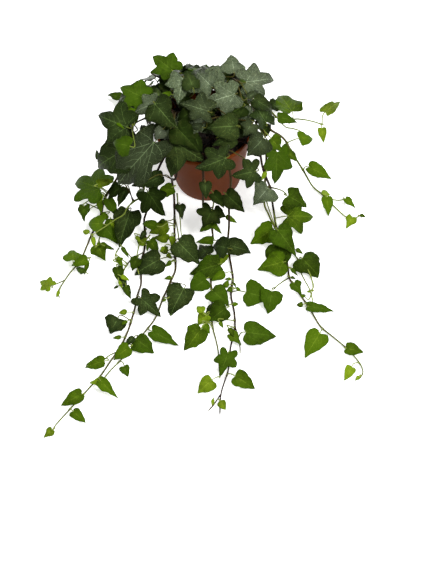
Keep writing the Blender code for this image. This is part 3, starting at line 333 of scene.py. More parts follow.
# The fine petioles: from a thin start under the blade to a thick joint on the stem, with shares that change
# the radius at both ends by its place on the line
PETIOLE_FULL = 1.35
PETIOLE_THIN = 0.72
PETIOLE_SIDES = 7
PETIOLE_STEP = 1.5 * MM
PETIOLE_EASE = 7
PETIOLE_START = 1.2 * MM
PETIOLE_UNDER = 0.25 * MM
PETIOLE_ENDS = {0: 0.5, -1: 1.5, -2: 1.25}
PETIOLE_TONE = (0.15, 0.55)
PETIOLE_FRESHER = 0.6

# Two darker looks between the old and the eldest. The first is painted deep shade, for leaves under and
# behind others. The second is a nearly black tone that is partly painted shade.
DEEP_PAINTED_SHADE, DARK_WITH_PAINTED_SHADE = 0.9, 0.95

# What the materials read on each point, before its two leaf coordinates
MARKS = ("under", "vein", "rim", "shade", "old")
AGES = (NEW, YOUNG, MID, OLD, DEEP_PAINTED_SHADE, DARK_WITH_PAINTED_SHADE, ELDEST)
STEM_SLOT = len(AGES)

# How old a leaf looks, by its row, where that differs from the age that bends it. The looks also follow how
# light or dark each leaf is seen, so they hold painted light and shade as well as age. Darker looks paint
# shade on leaves in shadow, and some leaves get a paler, younger look that paints light over a shadow.
SEEN_AGES = {
    "stem_left_far": {0: MID, 1: NEW, 3: YOUNG, 4: MID, 5: MID, 9: YOUNG, 14: NEW, 16: NEW},
    "stem_left_pale": {2: DEEP_PAINTED_SHADE},
    "stem_left_long": {0: DEEP_PAINTED_SHADE, 2: NEW, 4: MID, 8: YOUNG, 9: YOUNG, 11: NEW, 15: YOUNG, 16: NEW, 17: YOUNG,
                       18: YOUNG, 19: YOUNG, 20: NEW},
    "stem_front_left": {0: NEW, 1: YOUNG, 2: NEW, 6: NEW, 8: MID, 14: OLD, 15: OLD, 16: YOUNG, 17: DEEP_PAINTED_SHADE},
    "stem_front": {0: DEEP_PAINTED_SHADE, 2: YOUNG, 3: YOUNG, 4: YOUNG, 11: NEW, 12: YOUNG, 13: NEW, 14: YOUNG, 15: NEW,
                   16: OLD, 17: DEEP_PAINTED_SHADE},
    "stem_front_right": {2: NEW, 4: MID, 7: YOUNG, 9: YOUNG, 10: NEW, 11: DEEP_PAINTED_SHADE},
    "stem_right": {2: MID, 4: MID, 5: YOUNG, 6: YOUNG, 7: NEW, 8: MID, 11: YOUNG},
    "stem_right_low": {0: MID, 1: MID, 2: YOUNG},
    "stem_right_side": {0: YOUNG, 1: YOUNG, 2: YOUNG},
    "stem_right_back": {0: YOUNG, 1: NEW},
    "crown_back_left": {2: OLD},
    "crown_left_back": {2: OLD},
    "crown_left": {0: DARK_WITH_PAINTED_SHADE, 1: OLD, 2: MID, 3: OLD, 4: OLD},
    "crown_middle_left": {0: OLD, 3: OLD, 4: DEEP_PAINTED_SHADE, 5: DEEP_PAINTED_SHADE, 6: OLD, 7: ELDEST},
    "crown_back_right": {2: OLD, 3: DARK_WITH_PAINTED_SHADE},
    "crown_middle": {0: DARK_WITH_PAINTED_SHADE, 2: DEEP_PAINTED_SHADE, 4: DARK_WITH_PAINTED_SHADE},
    "crown_middle_right": {0: OLD, 1: DEEP_PAINTED_SHADE, 3: DARK_WITH_PAINTED_SHADE},
    "crown_right": {0: DARK_WITH_PAINTED_SHADE, 1: YOUNG},
    "crown_front": {0: OLD, 1: OLD},
}

# Thin pale shoots beside the main stems: pixels, each with its height in mm
PALE_SHOOTS = {
    "stem_left_pale": [
        [(137.5, 199, 44), (128, 206.7, 41), (123.8, 214.4, 38), (115.3, 219.5, 34), (106.8, 225.5, 28),
         (99, 230.6, 21), (91.4, 235.8, 12)],
    ],
    "stem_left_far": [
        [(112, 196, 22), (104, 203, 14), (95, 206, 10), (84, 212, 8)],
        [(101, 190, 22), (95, 196, 16), (88, 201, 12), (80, 206, 9)],
        [(92, 235, 10), (94, 240, 9), (95, 246, 8), (95, 251, 7)],
    ],
    "stem_left_long": [
        [(140, 240, 9), (138, 250, 8), (136, 262, 7), (139, 274, 7)],
        [(150, 235, 12), (146, 240, 11), (143, 243, 10), (139, 239, 9), (137, 235, 8)],
        [(119, 248, 10), (116, 253, 9), (115, 258, 8), (118, 263, 7)],
        [(119, 274, 12), (120, 281, 10), (122, 286, 9), (124, 290, 8)],
    ],
    "stem_front_left": [[(177, 193, 24), (178, 205, 13), (180, 218, 9), (181, 232, 8), (183, 243, 8)]],
    "stem_front": [[(214, 200, 14), (212, 216, 9), (213, 232, 8), (211, 246, 8)]],
    "stem_right": [
        [(264, 190, 34), (267, 203, 22), (271, 215, 13), (275, 226, 9)],
        [(268, 186, 36), (272, 200, 22), (274, 214, 13), (277, 226, 9)],
    ],
    "stem_right_low": [[(303, 262, 9), (310, 274, 8), (313, 286, 7), (311, 296, 7)]],
}

# Shaded leaves under the crown's outer layer: as the crown's rows, and then how deep, as a share of the dome.
# Most have the deep look, which is painted shade that darkens the inside of the crown.
UNDER_LEAVES = {
    "crown_back_left": [(170, 88, 158, 74, "tri", 0.90, DEEP_PAINTED_SHADE, 0.86),
                        (176, 96, 192, 92, "heart", 0.85, OLD, 0.84)],
    "crown_left_back": [(140, 100, 126, 106, "tri", 0.9, DEEP_PAINTED_SHADE, 0.86),
                        (155, 92, 166, 82, "heart", 0.8, DEEP_PAINTED_SHADE, 0.85)],
    "crown_middle_left": [(186, 104, 176, 94, "tri", 0.9, DEEP_PAINTED_SHADE, 0.8),
                          (176, 118, 190, 126, "heart", 0.85, ELDEST, 0.78),
                          (166, 124, 152, 130, "heart", 0.9, DEEP_PAINTED_SHADE, 0.84)],
    "crown_back": [(212, 84, 198, 90, "heart", 0.9, DEEP_PAINTED_SHADE, 0.84),
                   (228, 80, 238, 70, "tri", 0.9, DEEP_PAINTED_SHADE, 0.86)],
    "crown_back_right": [(240, 92, 228, 84, "heart", 0.85, DEEP_PAINTED_SHADE, 0.84),
                         (246, 88, 258, 96, "tri", 0.9, ELDEST, 0.86)],
    "crown_middle": [(204, 112, 214, 100, "heart", 0.9, DEEP_PAINTED_SHADE, 0.8),
                     (214, 122, 202, 132, "tri", 0.85, DEEP_PAINTED_SHADE, 0.8)],
    "crown_middle_right": [(228, 118, 242, 112, "heart", 0.9, DEEP_PAINTED_SHADE, 0.82),
                           (232, 132, 222, 122, "heart", 0.8, DEEP_PAINTED_SHADE, 0.8),
                           (240, 128, 254, 136, "tri", 0.9, DEEP_PAINTED_SHADE, 0.84)],
    "crown_left": [(134, 132, 122, 140, "heart", 0.9, DEEP_PAINTED_SHADE, 0.84),
                   (150, 136, 140, 124, "tri", 0.9, ELDEST, 0.82)],
    "crown_right": [(262, 132, 272, 124, "heart", 0.8, DEEP_PAINTED_SHADE, 0.88),
                    (252, 146, 262, 158, "tri", 0.9, DEEP_PAINTED_SHADE, 0.88)],
}

# Leaves that fill the back between the crown and the hanging stems: azimuth in degrees, radius, height and
# length in mm, form and look
BACK_FILL = {
    "back_left": [
        (148, 58, 126, 38, "star", OLD), (132, 64, 118, 36, "tri", MID), (116, 66, 116, 34, "star", OLD),
        (124, 46, 134, 34, "tri", DARK_WITH_PAINTED_SHADE), (140, 76, 108, 32, "heart", OLD),
    ],
    "back_middle": [
        (104, 58, 124, 36, "star", OLD), (90, 64, 120, 36, "tri", MID), (97, 76, 110, 32, "heart", OLD),
        (84, 46, 134, 34, "star", DARK_WITH_PAINTED_SHADE), (110, 78, 106, 30, "heart", MID),
    ],
    "back_right": [
        (74, 62, 120, 36, "star", OLD), (60, 62, 122, 36, "tri", OLD), (46, 64, 118, 34, "star", MID),
        (66, 76, 110, 32, "heart", OLD), (56, 46, 132, 34, "tri", DARK_WITH_PAINTED_SHADE),
    ],
}
FILL_DROP = 0.45
FILL_TURN = 0.4
FILL_TILT = 0.5

# Tiny leaflets too small for solids of their own, in the form of the leaves of trailing stems
LEAFLETS = {
    "stem_left_far": [
        (99, 196, 92, 203, "star", 0.80, NEW), (107, 214, 100, 221, "small", 0.90, YOUNG),
        (93, 237, 95, 249, "small", 0.40, NEW), (98, 245, 103, 243, "small", 0.60, YOUNG),
    ],
    "stem_left_long": [
        (118, 286, 113, 289, "small", 0.50, OLD), (122, 247, 129, 258, "small", 0.35, MID),
        (117, 259, 124, 258, "small", 0.45, YOUNG), (136, 236, 141, 243, "small", 0.50, NEW),
        (148, 245, 147, 252, "small", 0.45, MID), (134, 258, 139, 256, "small", 0.70, MID),
        (119, 281, 123, 290, "small", 0.35, NEW),
    ],
    "stem_front_left": [
        (167, 254, 172, 259, "small", 0.70, NEW), (165, 221, 158, 222, "small", 0.60, MID),
        (164, 247, 160, 252, "small", 0.70, NEW), (165, 249, 168, 246, "small", 0.70, NEW),
        (171, 261, 166, 265, "small", 0.60, YOUNG), (166, 299, 162, 302, "small", 0.50, YOUNG),
    ],
    "stem_front_right": [
        (231, 279, 224, 279, "small", 0.45, YOUNG), (234, 283, 236, 288, "small", 0.45, MID),
        (229, 284, 222, 285, "small", 1.00, YOUNG), (232, 289, 226, 291, "small", 0.90, YOUNG),
        (236, 288, 241, 290, "small", 0.70, YOUNG), (233, 304, 239, 304, "small", 0.70, YOUNG),
        (213, 399, 212, 406, "small", 0.50, NEW), (220, 322, 223, 328, "small", 0.70, YOUNG),
    ],
    "stem_right": [
        (291, 277, 296, 279, "small", 0.60, MID), (303, 304, 296, 305, "small", 0.80, YOUNG),
        (359, 376, 355, 381, "small", 0.60, NEW),
    ],
    "stem_right_low": [
        (305, 297, 299, 294, "small", 0.50, YOUNG), (311, 291, 306, 292, "small", 0.50, NEW),
    ],
    "stem_right_side": [
        (326, 196, 325.5, 189, "small", 0.60, NEW), (360, 215, 366, 217, "small", 0.60, YOUNG),
    ],
}

# The photograph's viewpoint: pixels of its frame, and a lens and its sensor's long side in mm
FRAME_PIXELS = (425, 568)
LENS = 85
SENSOR = 36
FOCAL_PIXELS = LENS / SENSOR * FRAME_PIXELS[1]
IMAGE_CENTRE = (FRAME_PIXELS[0] / 2, FRAME_PIXELS[1] / 2)
PITCH = math.radians(55.7)
ROLL = math.radians(-5.3)
DISTANCE = 1.731
ORIGIN_PIXEL = (208.4, 175.7)
TO_EYE = Vector((0, -math.cos(PITCH), math.sin(PITCH)))
LEVEL = Vector((1, 0, 0))
RIGHT = LEVEL * math.cos(ROLL) + TO_EYE.cross(LEVEL) * math.sin(ROLL)
UP = TO_EYE.cross(RIGHT)

# The dome that the crown's leaves lie on
DOME_CENTRE = Vector((-20 * MM, 10 * MM, 60 * MM))
DOME_AXES = Vector((130 * MM, 118 * MM, 112 * MM))
STEEPEST = 0.55

# Soft lamps: place, what it shines at, width and height in metres, and watts
LAMPS = {
    "front right softbox": ((0.75, -0.95, 1.55), (0, -0.08, 0.05), (0.6, 0.6), 36),
    "overhead softbox": ((-0.1, 0.5, 1.5), (0, -0.05, 0.08), (0.5, 0.35), 18),
    "left softbox": ((-1.4, -0.5, 1.0), (0, -0.05, 0.05), (0.8, 0.8), 4),
}
SURROUND_STRENGTH = 0.2
NEAREST_SEEN = 0.05
TABLE_HALF = 6
TABLE_DROP = 0.2 * MM

# The blades' looks by age and by painted shade: dark and light tone, edge, veins, underside and tint of the
# gloss, and then roughness, gloss and how far the net of veinlets shows. Most edge colours are darker, as a
# painted shade along the margin. New blades are pale, soft and nearly matt, grown ones mid green, old ones
# nearly black with clear veins, and the crown's eldest have a grey bloom of wax.
BLADE_LOOKS = {
    "ivy blade, newly opened": ("#344802", "#647e10", "#4a6406", "#98a838", "#808f48", "#c6dc50",
                                0.46, 0.07, 0.2),
    "ivy blade, young": ("#182c01", "#395404", "#243c02", "#768c28", "#62773a", "#c6dc50",
                         0.44, 0.06, 0.2),
    "ivy blade, grown": ("#0e1c01", "#2b4304", "#162802", "#5c7424", "#506630", "#c6dc50",
                         0.42, 0.07, 0.22),
    "ivy blade, old": ("#010400", "#0a1503", "#030701", "#627a40", "#40542a", "#ccd874",
                       0.27, 0.115, 0.18),
    # Painted deep shade, for leaves under and behind others
    "ivy blade, deep painted shade": ("#020501", "#0b1503", "#020401", "#445a24", "#38462e", "#ccd870",
                              0.3, 0.085, 0.14),
    # A nearly black tone, partly painted shade, for the crown leaves seen darkest
    "ivy blade, dark with painted shade": ("#010100", "#0a1004", "#020401", "#73855d", "#38462e", "#ccd870",
                               0.26, 0.1, 0.22),
    "ivy blade, waxy crown": ("#020601", "#1f2b14", "#060b04", "#a0b08e", "#42543a", "#d0dc98",
                              0.25, 0.34, 0.28),
}

# Sizes of the patterns in the surfaces. The pot's grain is really about 0.1 mm, too fine to show, and is
# drawn coarser. A bark line's two sizes are its width round the stem and its length along it.
VEINLET_CELL = 1.5 * MM
BLADE_MOTTLE = 4.5 * MM
BLADE_BLOTCH = 18 * MM
VEINLET_RELIEF = 0.9 * MM
BARK_LINE = (0.4 * MM, 6 * MM)
BARK_SPOT = 2.4 * MM
BARK_RELIEF = 0.2 * MM
POT_CLOUD = 38 * MM
POT_GRAIN = 0.7 * MM
POT_RELIEF = 0.15 * MM
POT_SPLASH = 14 * MM
PEAT_LUMP = 2.1 * MM
PEAT_BIT = 2.4 * MM
PEAT_RELIEF = 0.8 * MM
ACRYLIC_CLOUD = 330 * MM

# Colours of the stems from skin to bark, each with its age
BARK_TONES = ((0.3, "#8c9a44"), (0.55, "#5e6c26"), (0.8, "#3e3412"), (1.05, "#24120a"), (1.35, "#120906"))
OLDEST_BARK = 1.6

# Node settings that repeat
BLEND = {"data_type": "RGBA"}
TIMES_PLUS = {"operation": "MULTIPLY_ADD"}

# Trailing stems. hole: where the stem stands in the soil, in mm. over: its way over the lip, in mm.
# trail: pixels of its seen part, with the heights of the first of them in fall, in mm.
# shoots: side shoots as pixels. leaves: base and tip pixels, form, width to length, age.
TRAILS = {
    "stem_left_far": {
        "hole": (-40, -4),
        "over": [(-52, -8, 106), (-72, -14, 106), (-104, -26, 62)],
        "fall": (26, 14, 5),
        "trail": [(106, 196), (103, 206), (100, 217), (96, 226), (91, 236), (86, 248), (82, 257), (76, 266),
                  (70, 273), (65, 280), (60, 288), (57.5, 293), (60, 298)],
        "shoots": [[(100, 217), (104, 225), (100, 236), (98, 245)], [(65, 280), (57, 284), (50, 286)]],
        "leaves": [
            (100, 188, 72, 180, "star", 1.00, YOUNG), (98, 184, 115, 181, "heart", 0.45, YOUNG),
            (100, 194, 94, 204, "heart", 0.90, NEW), (99, 200, 101, 214, "heart", 0.45, MID),
            (84, 206, 84, 222, "tri", 0.80, OLD), (104, 225, 118, 244.5, "tri", 1.00, YOUNG),
            (103, 224, 87, 223, "heart", 0.80, YOUNG), (104, 223, 105, 213, "small", 0.70, OLD),
            (73, 260, 73, 248, "tri", 0.90, YOUNG), (87, 259, 71, 266, "heart", 0.55, MID),
            (98, 246, 105.5, 261, "tri", 1.10, YOUNG), (88, 262, 84, 275, "small", 0.40, YOUNG),
            (85, 272, 75, 267, "small", 0.40, MID), (105, 246, 115, 250, "small", 0.40, MID),
            (50, 286, 39, 281, "star", 0.90, YOUNG), (59, 291, 56, 298, "small", 0.50, NEW),
            (89, 233, 82, 230, "small", 0.50, YOUNG), (107, 199, 118, 217, "heart", 0.50, MID),
        ],
    },
    "stem_left_pale": {
        "hole": (-31, -20),
        "over": [(-42, -27, 106), (-56, -37, 107), (-76, -52, 72)],
        "fall": (46, 32, 20, 17, 10, 6, 6, 6, 8, 15),
        "trail": [(142, 196), (134, 201), (128, 207), (124, 213), (118, 218), (110, 223), (104, 229),
                  (98, 233)],
        "shoots": [],
        "leaves": [
            (130, 211, 119, 247.5, "heart", 0.70, OLD), (111, 220, 114, 229, "small", 0.50, NEW),
            (121, 186, 108, 199, "heart", 0.70, OLD), (126, 188, 118, 207, "heart", 0.50, OLD),
            (97, 232, 89, 235, "small", 0.45, NEW), (140, 189, 144, 199, "small", 0.70, ELDEST),
        ],
    },
    "stem_left_long": {
        "hole": (-22, -30),
        "over": [(-32, -38, 107), (-50, -50, 107), (-70, -64, 70)],
        "fall": (34, 18, 7),
        "trail": [(147, 210), (144, 220), (145, 230), (145, 242), (144, 252), (141, 262), (141, 276),
                  (141, 285), (138, 293), (136, 303), (133, 315), (130, 325), (128, 331), (123, 342),
                  (117, 352), (110, 362), (104, 371), (99, 378), (91, 386), (84, 394), (72, 407), (62, 418),
                  (55, 426), (49, 437)],
        "shoots": [[(144, 252), (132, 258), (125, 268), (121, 278), (125, 286)],
                   [(117, 352), (110, 354), (104.5, 360)]],
        "leaves": [
            (148, 192, 165, 216, "star", 1.10, MID), (145, 231, 140, 240, "small", 0.60, OLD),
            (145, 244, 136, 236, "small", 0.50, YOUNG), (137, 258, 132, 271, "heart", 0.80, MID),
            (117, 267, 121, 285, "heart", 0.55, OLD), (122, 279, 127, 290, "small", 0.55, OLD),
            (121, 276, 130, 281, "small", 0.50, NEW), (126, 286, 131, 299, "heart", 0.55, MID),
            (117, 257, 123, 268, "small", 0.50, MID),
            (150, 240, 159, 254, "heart", 0.60, MID), (118, 318, 110, 334, "heart", 1.20, OLD),
            (127, 312, 118, 313, "small", 0.60, YOUNG), (127, 321, 121, 325, "small", 0.60, YOUNG),
            (121, 337, 112, 338, "small", 0.45, YOUNG), (129, 347, 113, 360, "heart", 0.70, YOUNG),
            (104, 361, 83.5, 367.5, "heart", 0.50, MID), (103, 382, 88.5, 383, "tri", 0.60, YOUNG),
            (101, 381, 118.5, 399, "tri", 0.50, MID), (82, 394, 60, 405.5, "heart", 0.55, MID),
            (73, 411, 86, 423, "heart", 0.60, MID), (52, 430, 43, 438, "tri", 0.80, YOUNG),
            (141, 298, 161, 317, "star", 1.00, OLD),
        ],
    },
    "stem_front_left": {
        "hole": (-10, -34),
        "over": [(-18, -44, 107), (-34, -60, 107), (-40, -74, 92)],
        "fall": (74, 52, 24, 6),
        "trail": [(172, 180), (174, 195), (174.5, 215), (174.5, 235), (175, 255), (175.5, 270), (172, 278),
                  (167, 290), (163, 298), (156, 317), (148, 328), (138, 340), (130, 350), (121, 360),
                  (110, 371), (104, 379), (99, 388)],
        "shoots": [[(174.5, 215), (178, 231), (179, 241)]],
        "leaves": [
            (168, 226, 148, 233, "heart", 0.60, YOUNG), (157, 226, 141, 223, "small", 0.45, MID),
            (168, 239, 153, 237, "heart", 0.45, MID), (168, 250, 159, 251, "small", 0.80, NEW),
            (171, 262, 165, 267, "small", 0.70, YOUNG),
            (171, 277, 164, 279, "small", 0.60, YOUNG), (172, 236, 172, 247, "small", 0.60, YOUNG),
            (160, 259, 134, 275, "heart", 0.85, OLD),
            (136, 339, 154.5, 353, "heart", 0.80, OLD), (134, 337, 125, 346, "small", 0.60, OLD),
            (152, 331, 179, 345.5, "heart", 0.50, MID), (124, 366, 128, 377, "heart", 0.85, MID),
            (184, 288, 170, 316, "heart", 0.85, OLD), (178, 242, 200, 264, "heart", 0.85, OLD),
            (180, 205, 182, 220, "tri", 0.70, MID), (162, 176, 139, 187, "heart", 0.60, ELDEST),
            (172, 187, 155, 199, "heart", 0.65, MID), (143, 181, 131, 186, "small", 0.60, OLD),
        ],
    },
    "stem_front": {
        "hole": (-3, -42),
        "over": [(-5, -52, 106), (-6, -66, 107), (-7, -82, 92)],
        "fall": (62, 46, 26, 15, 8, 5),
        "trail": [(203, 201), (204, 210), (211, 222), (212, 230), (213, 237), (211, 247), (209, 258),
                  (210, 270), (211, 283), (212, 300), (212, 323), (216, 340), (218, 350), (219, 365),
                  (220, 379)],
        "shoots": [],
        "leaves": [
            (212, 210, 203, 228, "star", 1.40, MID), (214, 210, 226, 217, "heart", 0.90, OLD),
            (212, 223, 222, 234, "small", 0.40, OLD), (226, 216, 237.5, 223, "small", 0.45, MID),
            (213, 240, 195, 242, "heart", 0.40, MID), (207, 254, 199, 244, "tri", 0.90, OLD),
            (219, 264, 189, 274, "heart", 0.75, MID), (206, 279, 189, 291, "heart", 0.90, MID),
            (212, 290, 229, 306, "heart", 0.90, MID), (226, 308, 208, 321.5, "heart", 0.95, MID),
            (216, 306, 204, 317, "small", 0.70, OLD), (206, 314, 198, 325, "heart", 0.95, YOUNG),
            (204, 324, 210, 334, "small", 0.70, MID), (203, 312, 197, 306, "small", 0.70, MID),
            (201, 329, 184, 351, "heart", 0.80, MID), (212, 380, 197, 393.5, "heart", 0.80, YOUNG),
            (205, 182, 206, 199, "heart", 0.70, YOUNG), (213, 193, 224, 208, "heart", 0.60, OLD),
            (211, 223, 199, 232, "small", 0.60, MID),
        ],
    },
    "stem_front_right": {
        "hole": (14, -38),
        "over": [(17, -50, 106), (22, -64, 107), (26, -80, 92)],
        "fall": (64, 46, 26, 13, 5),
        "trail": [(229, 200), (229, 212), (229, 226), (228, 240), (229, 254), (231, 265), (233, 278),
                  (232, 285), (231, 296), (234, 310), (235, 323), (234, 333), (231, 345), (230, 352),
                  (229, 362), (228, 372), (224, 383), (221, 394), (220, 405), (220, 415)],
        "shoots": [[(235, 325), (238, 338), (240, 346), (240, 354)], [(221, 394), (214, 405), (208, 411)]],
        "leaves": [
            (229, 245, 252.5, 252.5, "heart", 0.75, OLD), (228, 248, 212, 245, "heart", 0.95, OLD),
            (225, 254, 220, 266, "heart", 0.70, MID), (225, 273, 210, 281, "small", 0.55, YOUNG),
            (246, 292, 270, 299, "heart", 1.05, OLD), (246, 332, 277, 336.5, "heart", 0.78, MID),
            (231, 334, 242, 345.5, "tri", 0.80, YOUNG), (229, 328, 234, 337, "small", 0.60, MID),
            (228, 353, 220, 376.5, "star", 0.95, MID), (235, 376, 255.5, 389, "heart", 0.67, MID),
            (220, 401, 226, 410, "small", 0.90, YOUNG),
            (226, 194, 245, 212, "heart", 0.75, OLD),
        ],
    },
    "stem_right": {
        "hole": (24, -29),
        "over": [(37, -35, 106), (51, -43, 107), (63, -51, 100)],
        "fall": (88, 72, 54, 30, 11, 4),
        "trail": [(262, 165), (266, 177), (270, 187), (272, 200), (274, 213), (276, 226), (279, 237),
                  (283, 246), (286, 258), (288, 268), (289, 277), (294, 286), (304, 300), (308, 306),
                  (314, 316), (321, 327), (332, 336), (344, 346), (355, 357), (362, 367), (363, 374),
                  (358, 380)],
        "shoots": [[(271, 187), (281, 189), (287, 195)], [(288, 278), (280, 283), (273, 290)]],
        "leaves": [
            (288, 216, 315.5, 216, "star", 1.00, YOUNG), (268, 188, 253, 205.5, "tri", 1.20, ELDEST),
            (288, 196, 308, 207, "tri", 1.10, OLD), (294, 283, 302, 295, "tri", 0.90, MID),
            (308, 306, 335, 311, "heart", 0.40, OLD), (320, 333, 305, 358, "heart", 0.75, YOUNG),
            (346, 348, 364, 352.5, "heart", 0.65, MID), (352, 367, 344.5, 381, "heart", 0.65, YOUNG),
            (272, 291, 268, 314, "heart", 0.90, OLD),
            (279, 245, 281, 276, "heart", 0.85, MID), (283, 262, 256, 269.5, "tri", 1.00, YOUNG),
            (273, 229, 250, 244, "heart", 0.80, OLD), (275, 236, 270, 243, "small", 0.60, MID),
            (266, 172, 261, 181, "small", 0.50, NEW),
        ],
    },
    "stem_right_low": {
        "hole": (26, -15),
        "over": [(40, -23, 106), (58, -31, 107), (72, -41, 88)],
        "fall": (50, 30, 16, 13, 7),
        "trail": [(264, 200), (268, 213), (273, 224), (280, 236), (289, 248), (297, 258), (303, 265),
                  (308, 271), (312, 280), (314, 287), (311, 291)],
        "shoots": [[(297, 258), (300, 271), (305, 281), (310, 290), (313, 302)]],
        "leaves": [
            (278, 230, 297, 256, "tri", 0.80, YOUNG), (302, 258, 319, 277, "heart", 1.20, OLD),
            (296, 249, 303, 254, "small", 0.60, MID), (291, 269, 298, 276, "small", 0.40, MID),
        ],
    },
    "stem_right_side": {
        "hole": (42, 7),
        "over": [(52, 6, 106)],
        "fall": (108, 104, 92, 76, 58, 36, 20, 12, 6),
        "trail": [(265, 125), (272, 131), (278, 134), (285, 140), (290, 149), (296, 159), (303, 170),
                  (308, 179), (313, 187), (318, 191), (326, 198), (336, 208), (346, 217), (353, 219),
                  (361, 215)],
        "shoots": [[(326, 198), (336, 201), (346, 199)]],
        "leaves": [
            (299, 138, 314, 138, "heart", 0.90, MID), (288, 152, 298, 162, "heart", 0.60, MID),
            (309, 167, 332.5, 179, "heart", 0.65, MID), (327, 197, 328.5, 216, "heart", 0.55, YOUNG),
            (346, 199, 356, 209, "tri", 0.60, YOUNG),
            (352, 217, 346, 229, "tri", 0.90, NEW),
        ],
    },
    "stem_right_back": {
        "hole": (34, 20),
        "over": [(48, 26, 106), (64, 30, 108)],
        "fall": (106, 92, 74, 48, 26, 11),
        "trail": [(268, 108), (276, 117), (286, 120), (298, 119), (311, 121), (324, 125)],
        "shoots": [[(277, 118), (284, 128), (291, 128), (301, 131)]],
        "leaves": [
            (292, 111, 278, 93.5, "heart", 0.80, MID), (325, 112, 341, 100, "heart", 0.60, YOUNG),
            (278, 117, 298, 122, "heart", 0.55, MID), (322, 128, 323.5, 143, "heart", 0.55, NEW),
        ],
    },
}

# Crown stems. hole and reach in mm. leaves as above, on the dome.
CROWNS = {
    "crown_back_left": {
        "hole": (-20, 18), "reach": [(-26, 26, 120), (-42, 44, 134), (-60, 58, 138)],
        "leaves": [
            (172, 70, 152, 55, "star", 1.10, MID), (183, 78, 178, 104, "star", 1.15, ELDEST),
            (193, 88, 187, 71, "heart", 0.80, OLD), (171, 94, 161, 93, "small", 0.50, YOUNG),
            (160, 99, 156, 87, "small", 0.50, OLD),
        ],
    },
    "crown_left_back": {
        "hole": (-34, 12), "reach": [(-44, 18, 120), (-66, 26, 130), (-92, 34, 126)],
        "leaves": [
            (142, 97, 118.5, 86, "star", 1.10, MID), (155, 103, 133, 112, "star", 1.10, ELDEST),
            (127, 127, 96, 115, "star", 1.15, MID), (131, 122, 121, 101, "tri", 0.90, YOUNG),
        ],
    },
    "crown_left": {
        "hole": (-30, 0), "reach": [(-40, 0, 118), (-64, -8, 132), (-90, -14, 126)],
        "leaves": [
            (154, 142, 116, 186, "star", 0.72, OLD), (128, 148, 94, 168, "heart", 0.95, OLD),
            (130, 146, 112, 142, "heart", 0.90, OLD), (98, 159, 96, 149, "small", 0.50, YOUNG),
        ],
    },
    "crown_middle_left": {
        "hole": (-14, -6), "reach": [(-20, -8, 122), (-34, -12, 142), (-44, -14, 152)],
        "leaves": [
            (155, 104, 178, 129, "tri", 0.90, ELDEST), (163, 129, 154, 140, "heart", 0.80, ELDEST),
            (171, 132, 164, 140, "heart", 0.70, ELDEST), (174, 142, 205, 161, "star", 1.10, OLD),
            (177, 128, 200, 152, "tri", 0.80, OLD), (191, 112, 177, 121, "heart", 0.90, ELDEST),
            (177, 152, 171, 178, "heart", 0.75, MID),
        ],
    },
    "crown_back": {
        "hole": (2, 24), "reach": [(2, 32, 122), (4, 42, 136), (4, 46, 140)],
        "leaves": [
            (212, 87, 196, 71, "star", 1.20, ELDEST), (234, 72, 231, 53.5, "tri", 1.20, ELDEST),
            (235, 94, 201, 104, "star", 1.00, ELDEST), (212, 82, 219, 64, "heart", 0.90, ELDEST),
        ],
    },
    "crown_back_right": {
        "hole": (20, 22), "reach": [(26, 28, 122), (40, 38, 142), (52, 46, 146)],
        "leaves": [
            (246, 82, 276, 79, "star", 1.00, ELDEST), (254, 99, 274, 111, "heart", 0.60, OLD),
            (266, 122, 250, 99, "star", 1.10, OLD), (247, 98, 260, 90, "small", 0.40, OLD),
        ],
    },
    "crown_middle": {
        "hole": (2, 2), "reach": [(4, 2, 124), (4, 4, 144), (2, 4, 156)],
        "leaves": [
            (208, 111, 179, 103, "star", 1.00, ELDEST), (224, 119, 215, 127, "small", 0.80, ELDEST),
            (243, 106, 222, 120, "heart", 0.80, OLD), (226, 105, 206, 107, "heart", 0.70, OLD),
            (202, 127, 186, 126, "heart", 0.45, YOUNG),
        ],
    },
    "crown_middle_right": {
        "hole": (16, -12), "reach": [(20, -16, 120), (28, -20, 136), (34, -22, 142)],
        "leaves": [
            (233, 137, 212, 146, "tri", 0.90, MID),
            (194, 135, 203, 153, "heart", 0.50, OLD), (252, 112, 236, 119, "tri", 0.90, ELDEST),
            (252, 124, 243, 136, "star", 1.40, ELDEST),
        ],
    },
    "crown_right": {
        "hole": (36, -5), "reach": [(44, -9, 116), (57, -17, 128), (65, -22, 126)],
        "leaves": [
            (264, 138, 247, 156, "heart", 1.10, ELDEST), (271, 138, 281, 151, "heart", 0.80, MID),
            (277, 152, 275.5, 185.5, "star", 0.85, MID),
        ],
    },
    "crown_front": {
        "hole": (6, -26), "reach": [(8, -34, 116), (14, -48, 122), (18, -58, 116)],
        "leaves": [
            (226, 158, 195, 170, "star", 1.10, MID), (237, 126, 206, 128, "heart", 0.90, MID),
            (256, 171, 232, 176, "star", 1.20, OLD),
        ],
    },
}

# Stems of the far side. hole, over and trail in mm; their leaves follow rules.
BACKS = {
    "back_left": {
        "hole": (-26, 28), "over": [(-36, 40, 106), (-48, 54, 108), (-62, 70, 84)],
        "trail": [(-76, 86, 44), (-88, 100, 12), (-98, 116, 3), (-96, 138, 3)], "sector": (195, 250),
    },
    "back_middle": {
        "hole": (-4, 40), "over": [(-6, 52, 107), (-8, 66, 108), (-12, 82, 86)],
        "trail": [(-14, 92, 46), (-14, 102, 12), (-20, 122, 3), (-14, 146, 3)], "sector": (160, 195),
    },
    "back_right": {
        "hole": (20, 34), "over": [(30, 46, 107), (40, 56, 108), (52, 68, 84)],
        "trail": [(62, 80, 44), (70, 92, 12), (80, 108, 3), (76, 130, 3)], "sector": (115, 160),
    },
}
STEMS = {**TRAILS, **CROWNS, **BACKS}


# Lines of sight

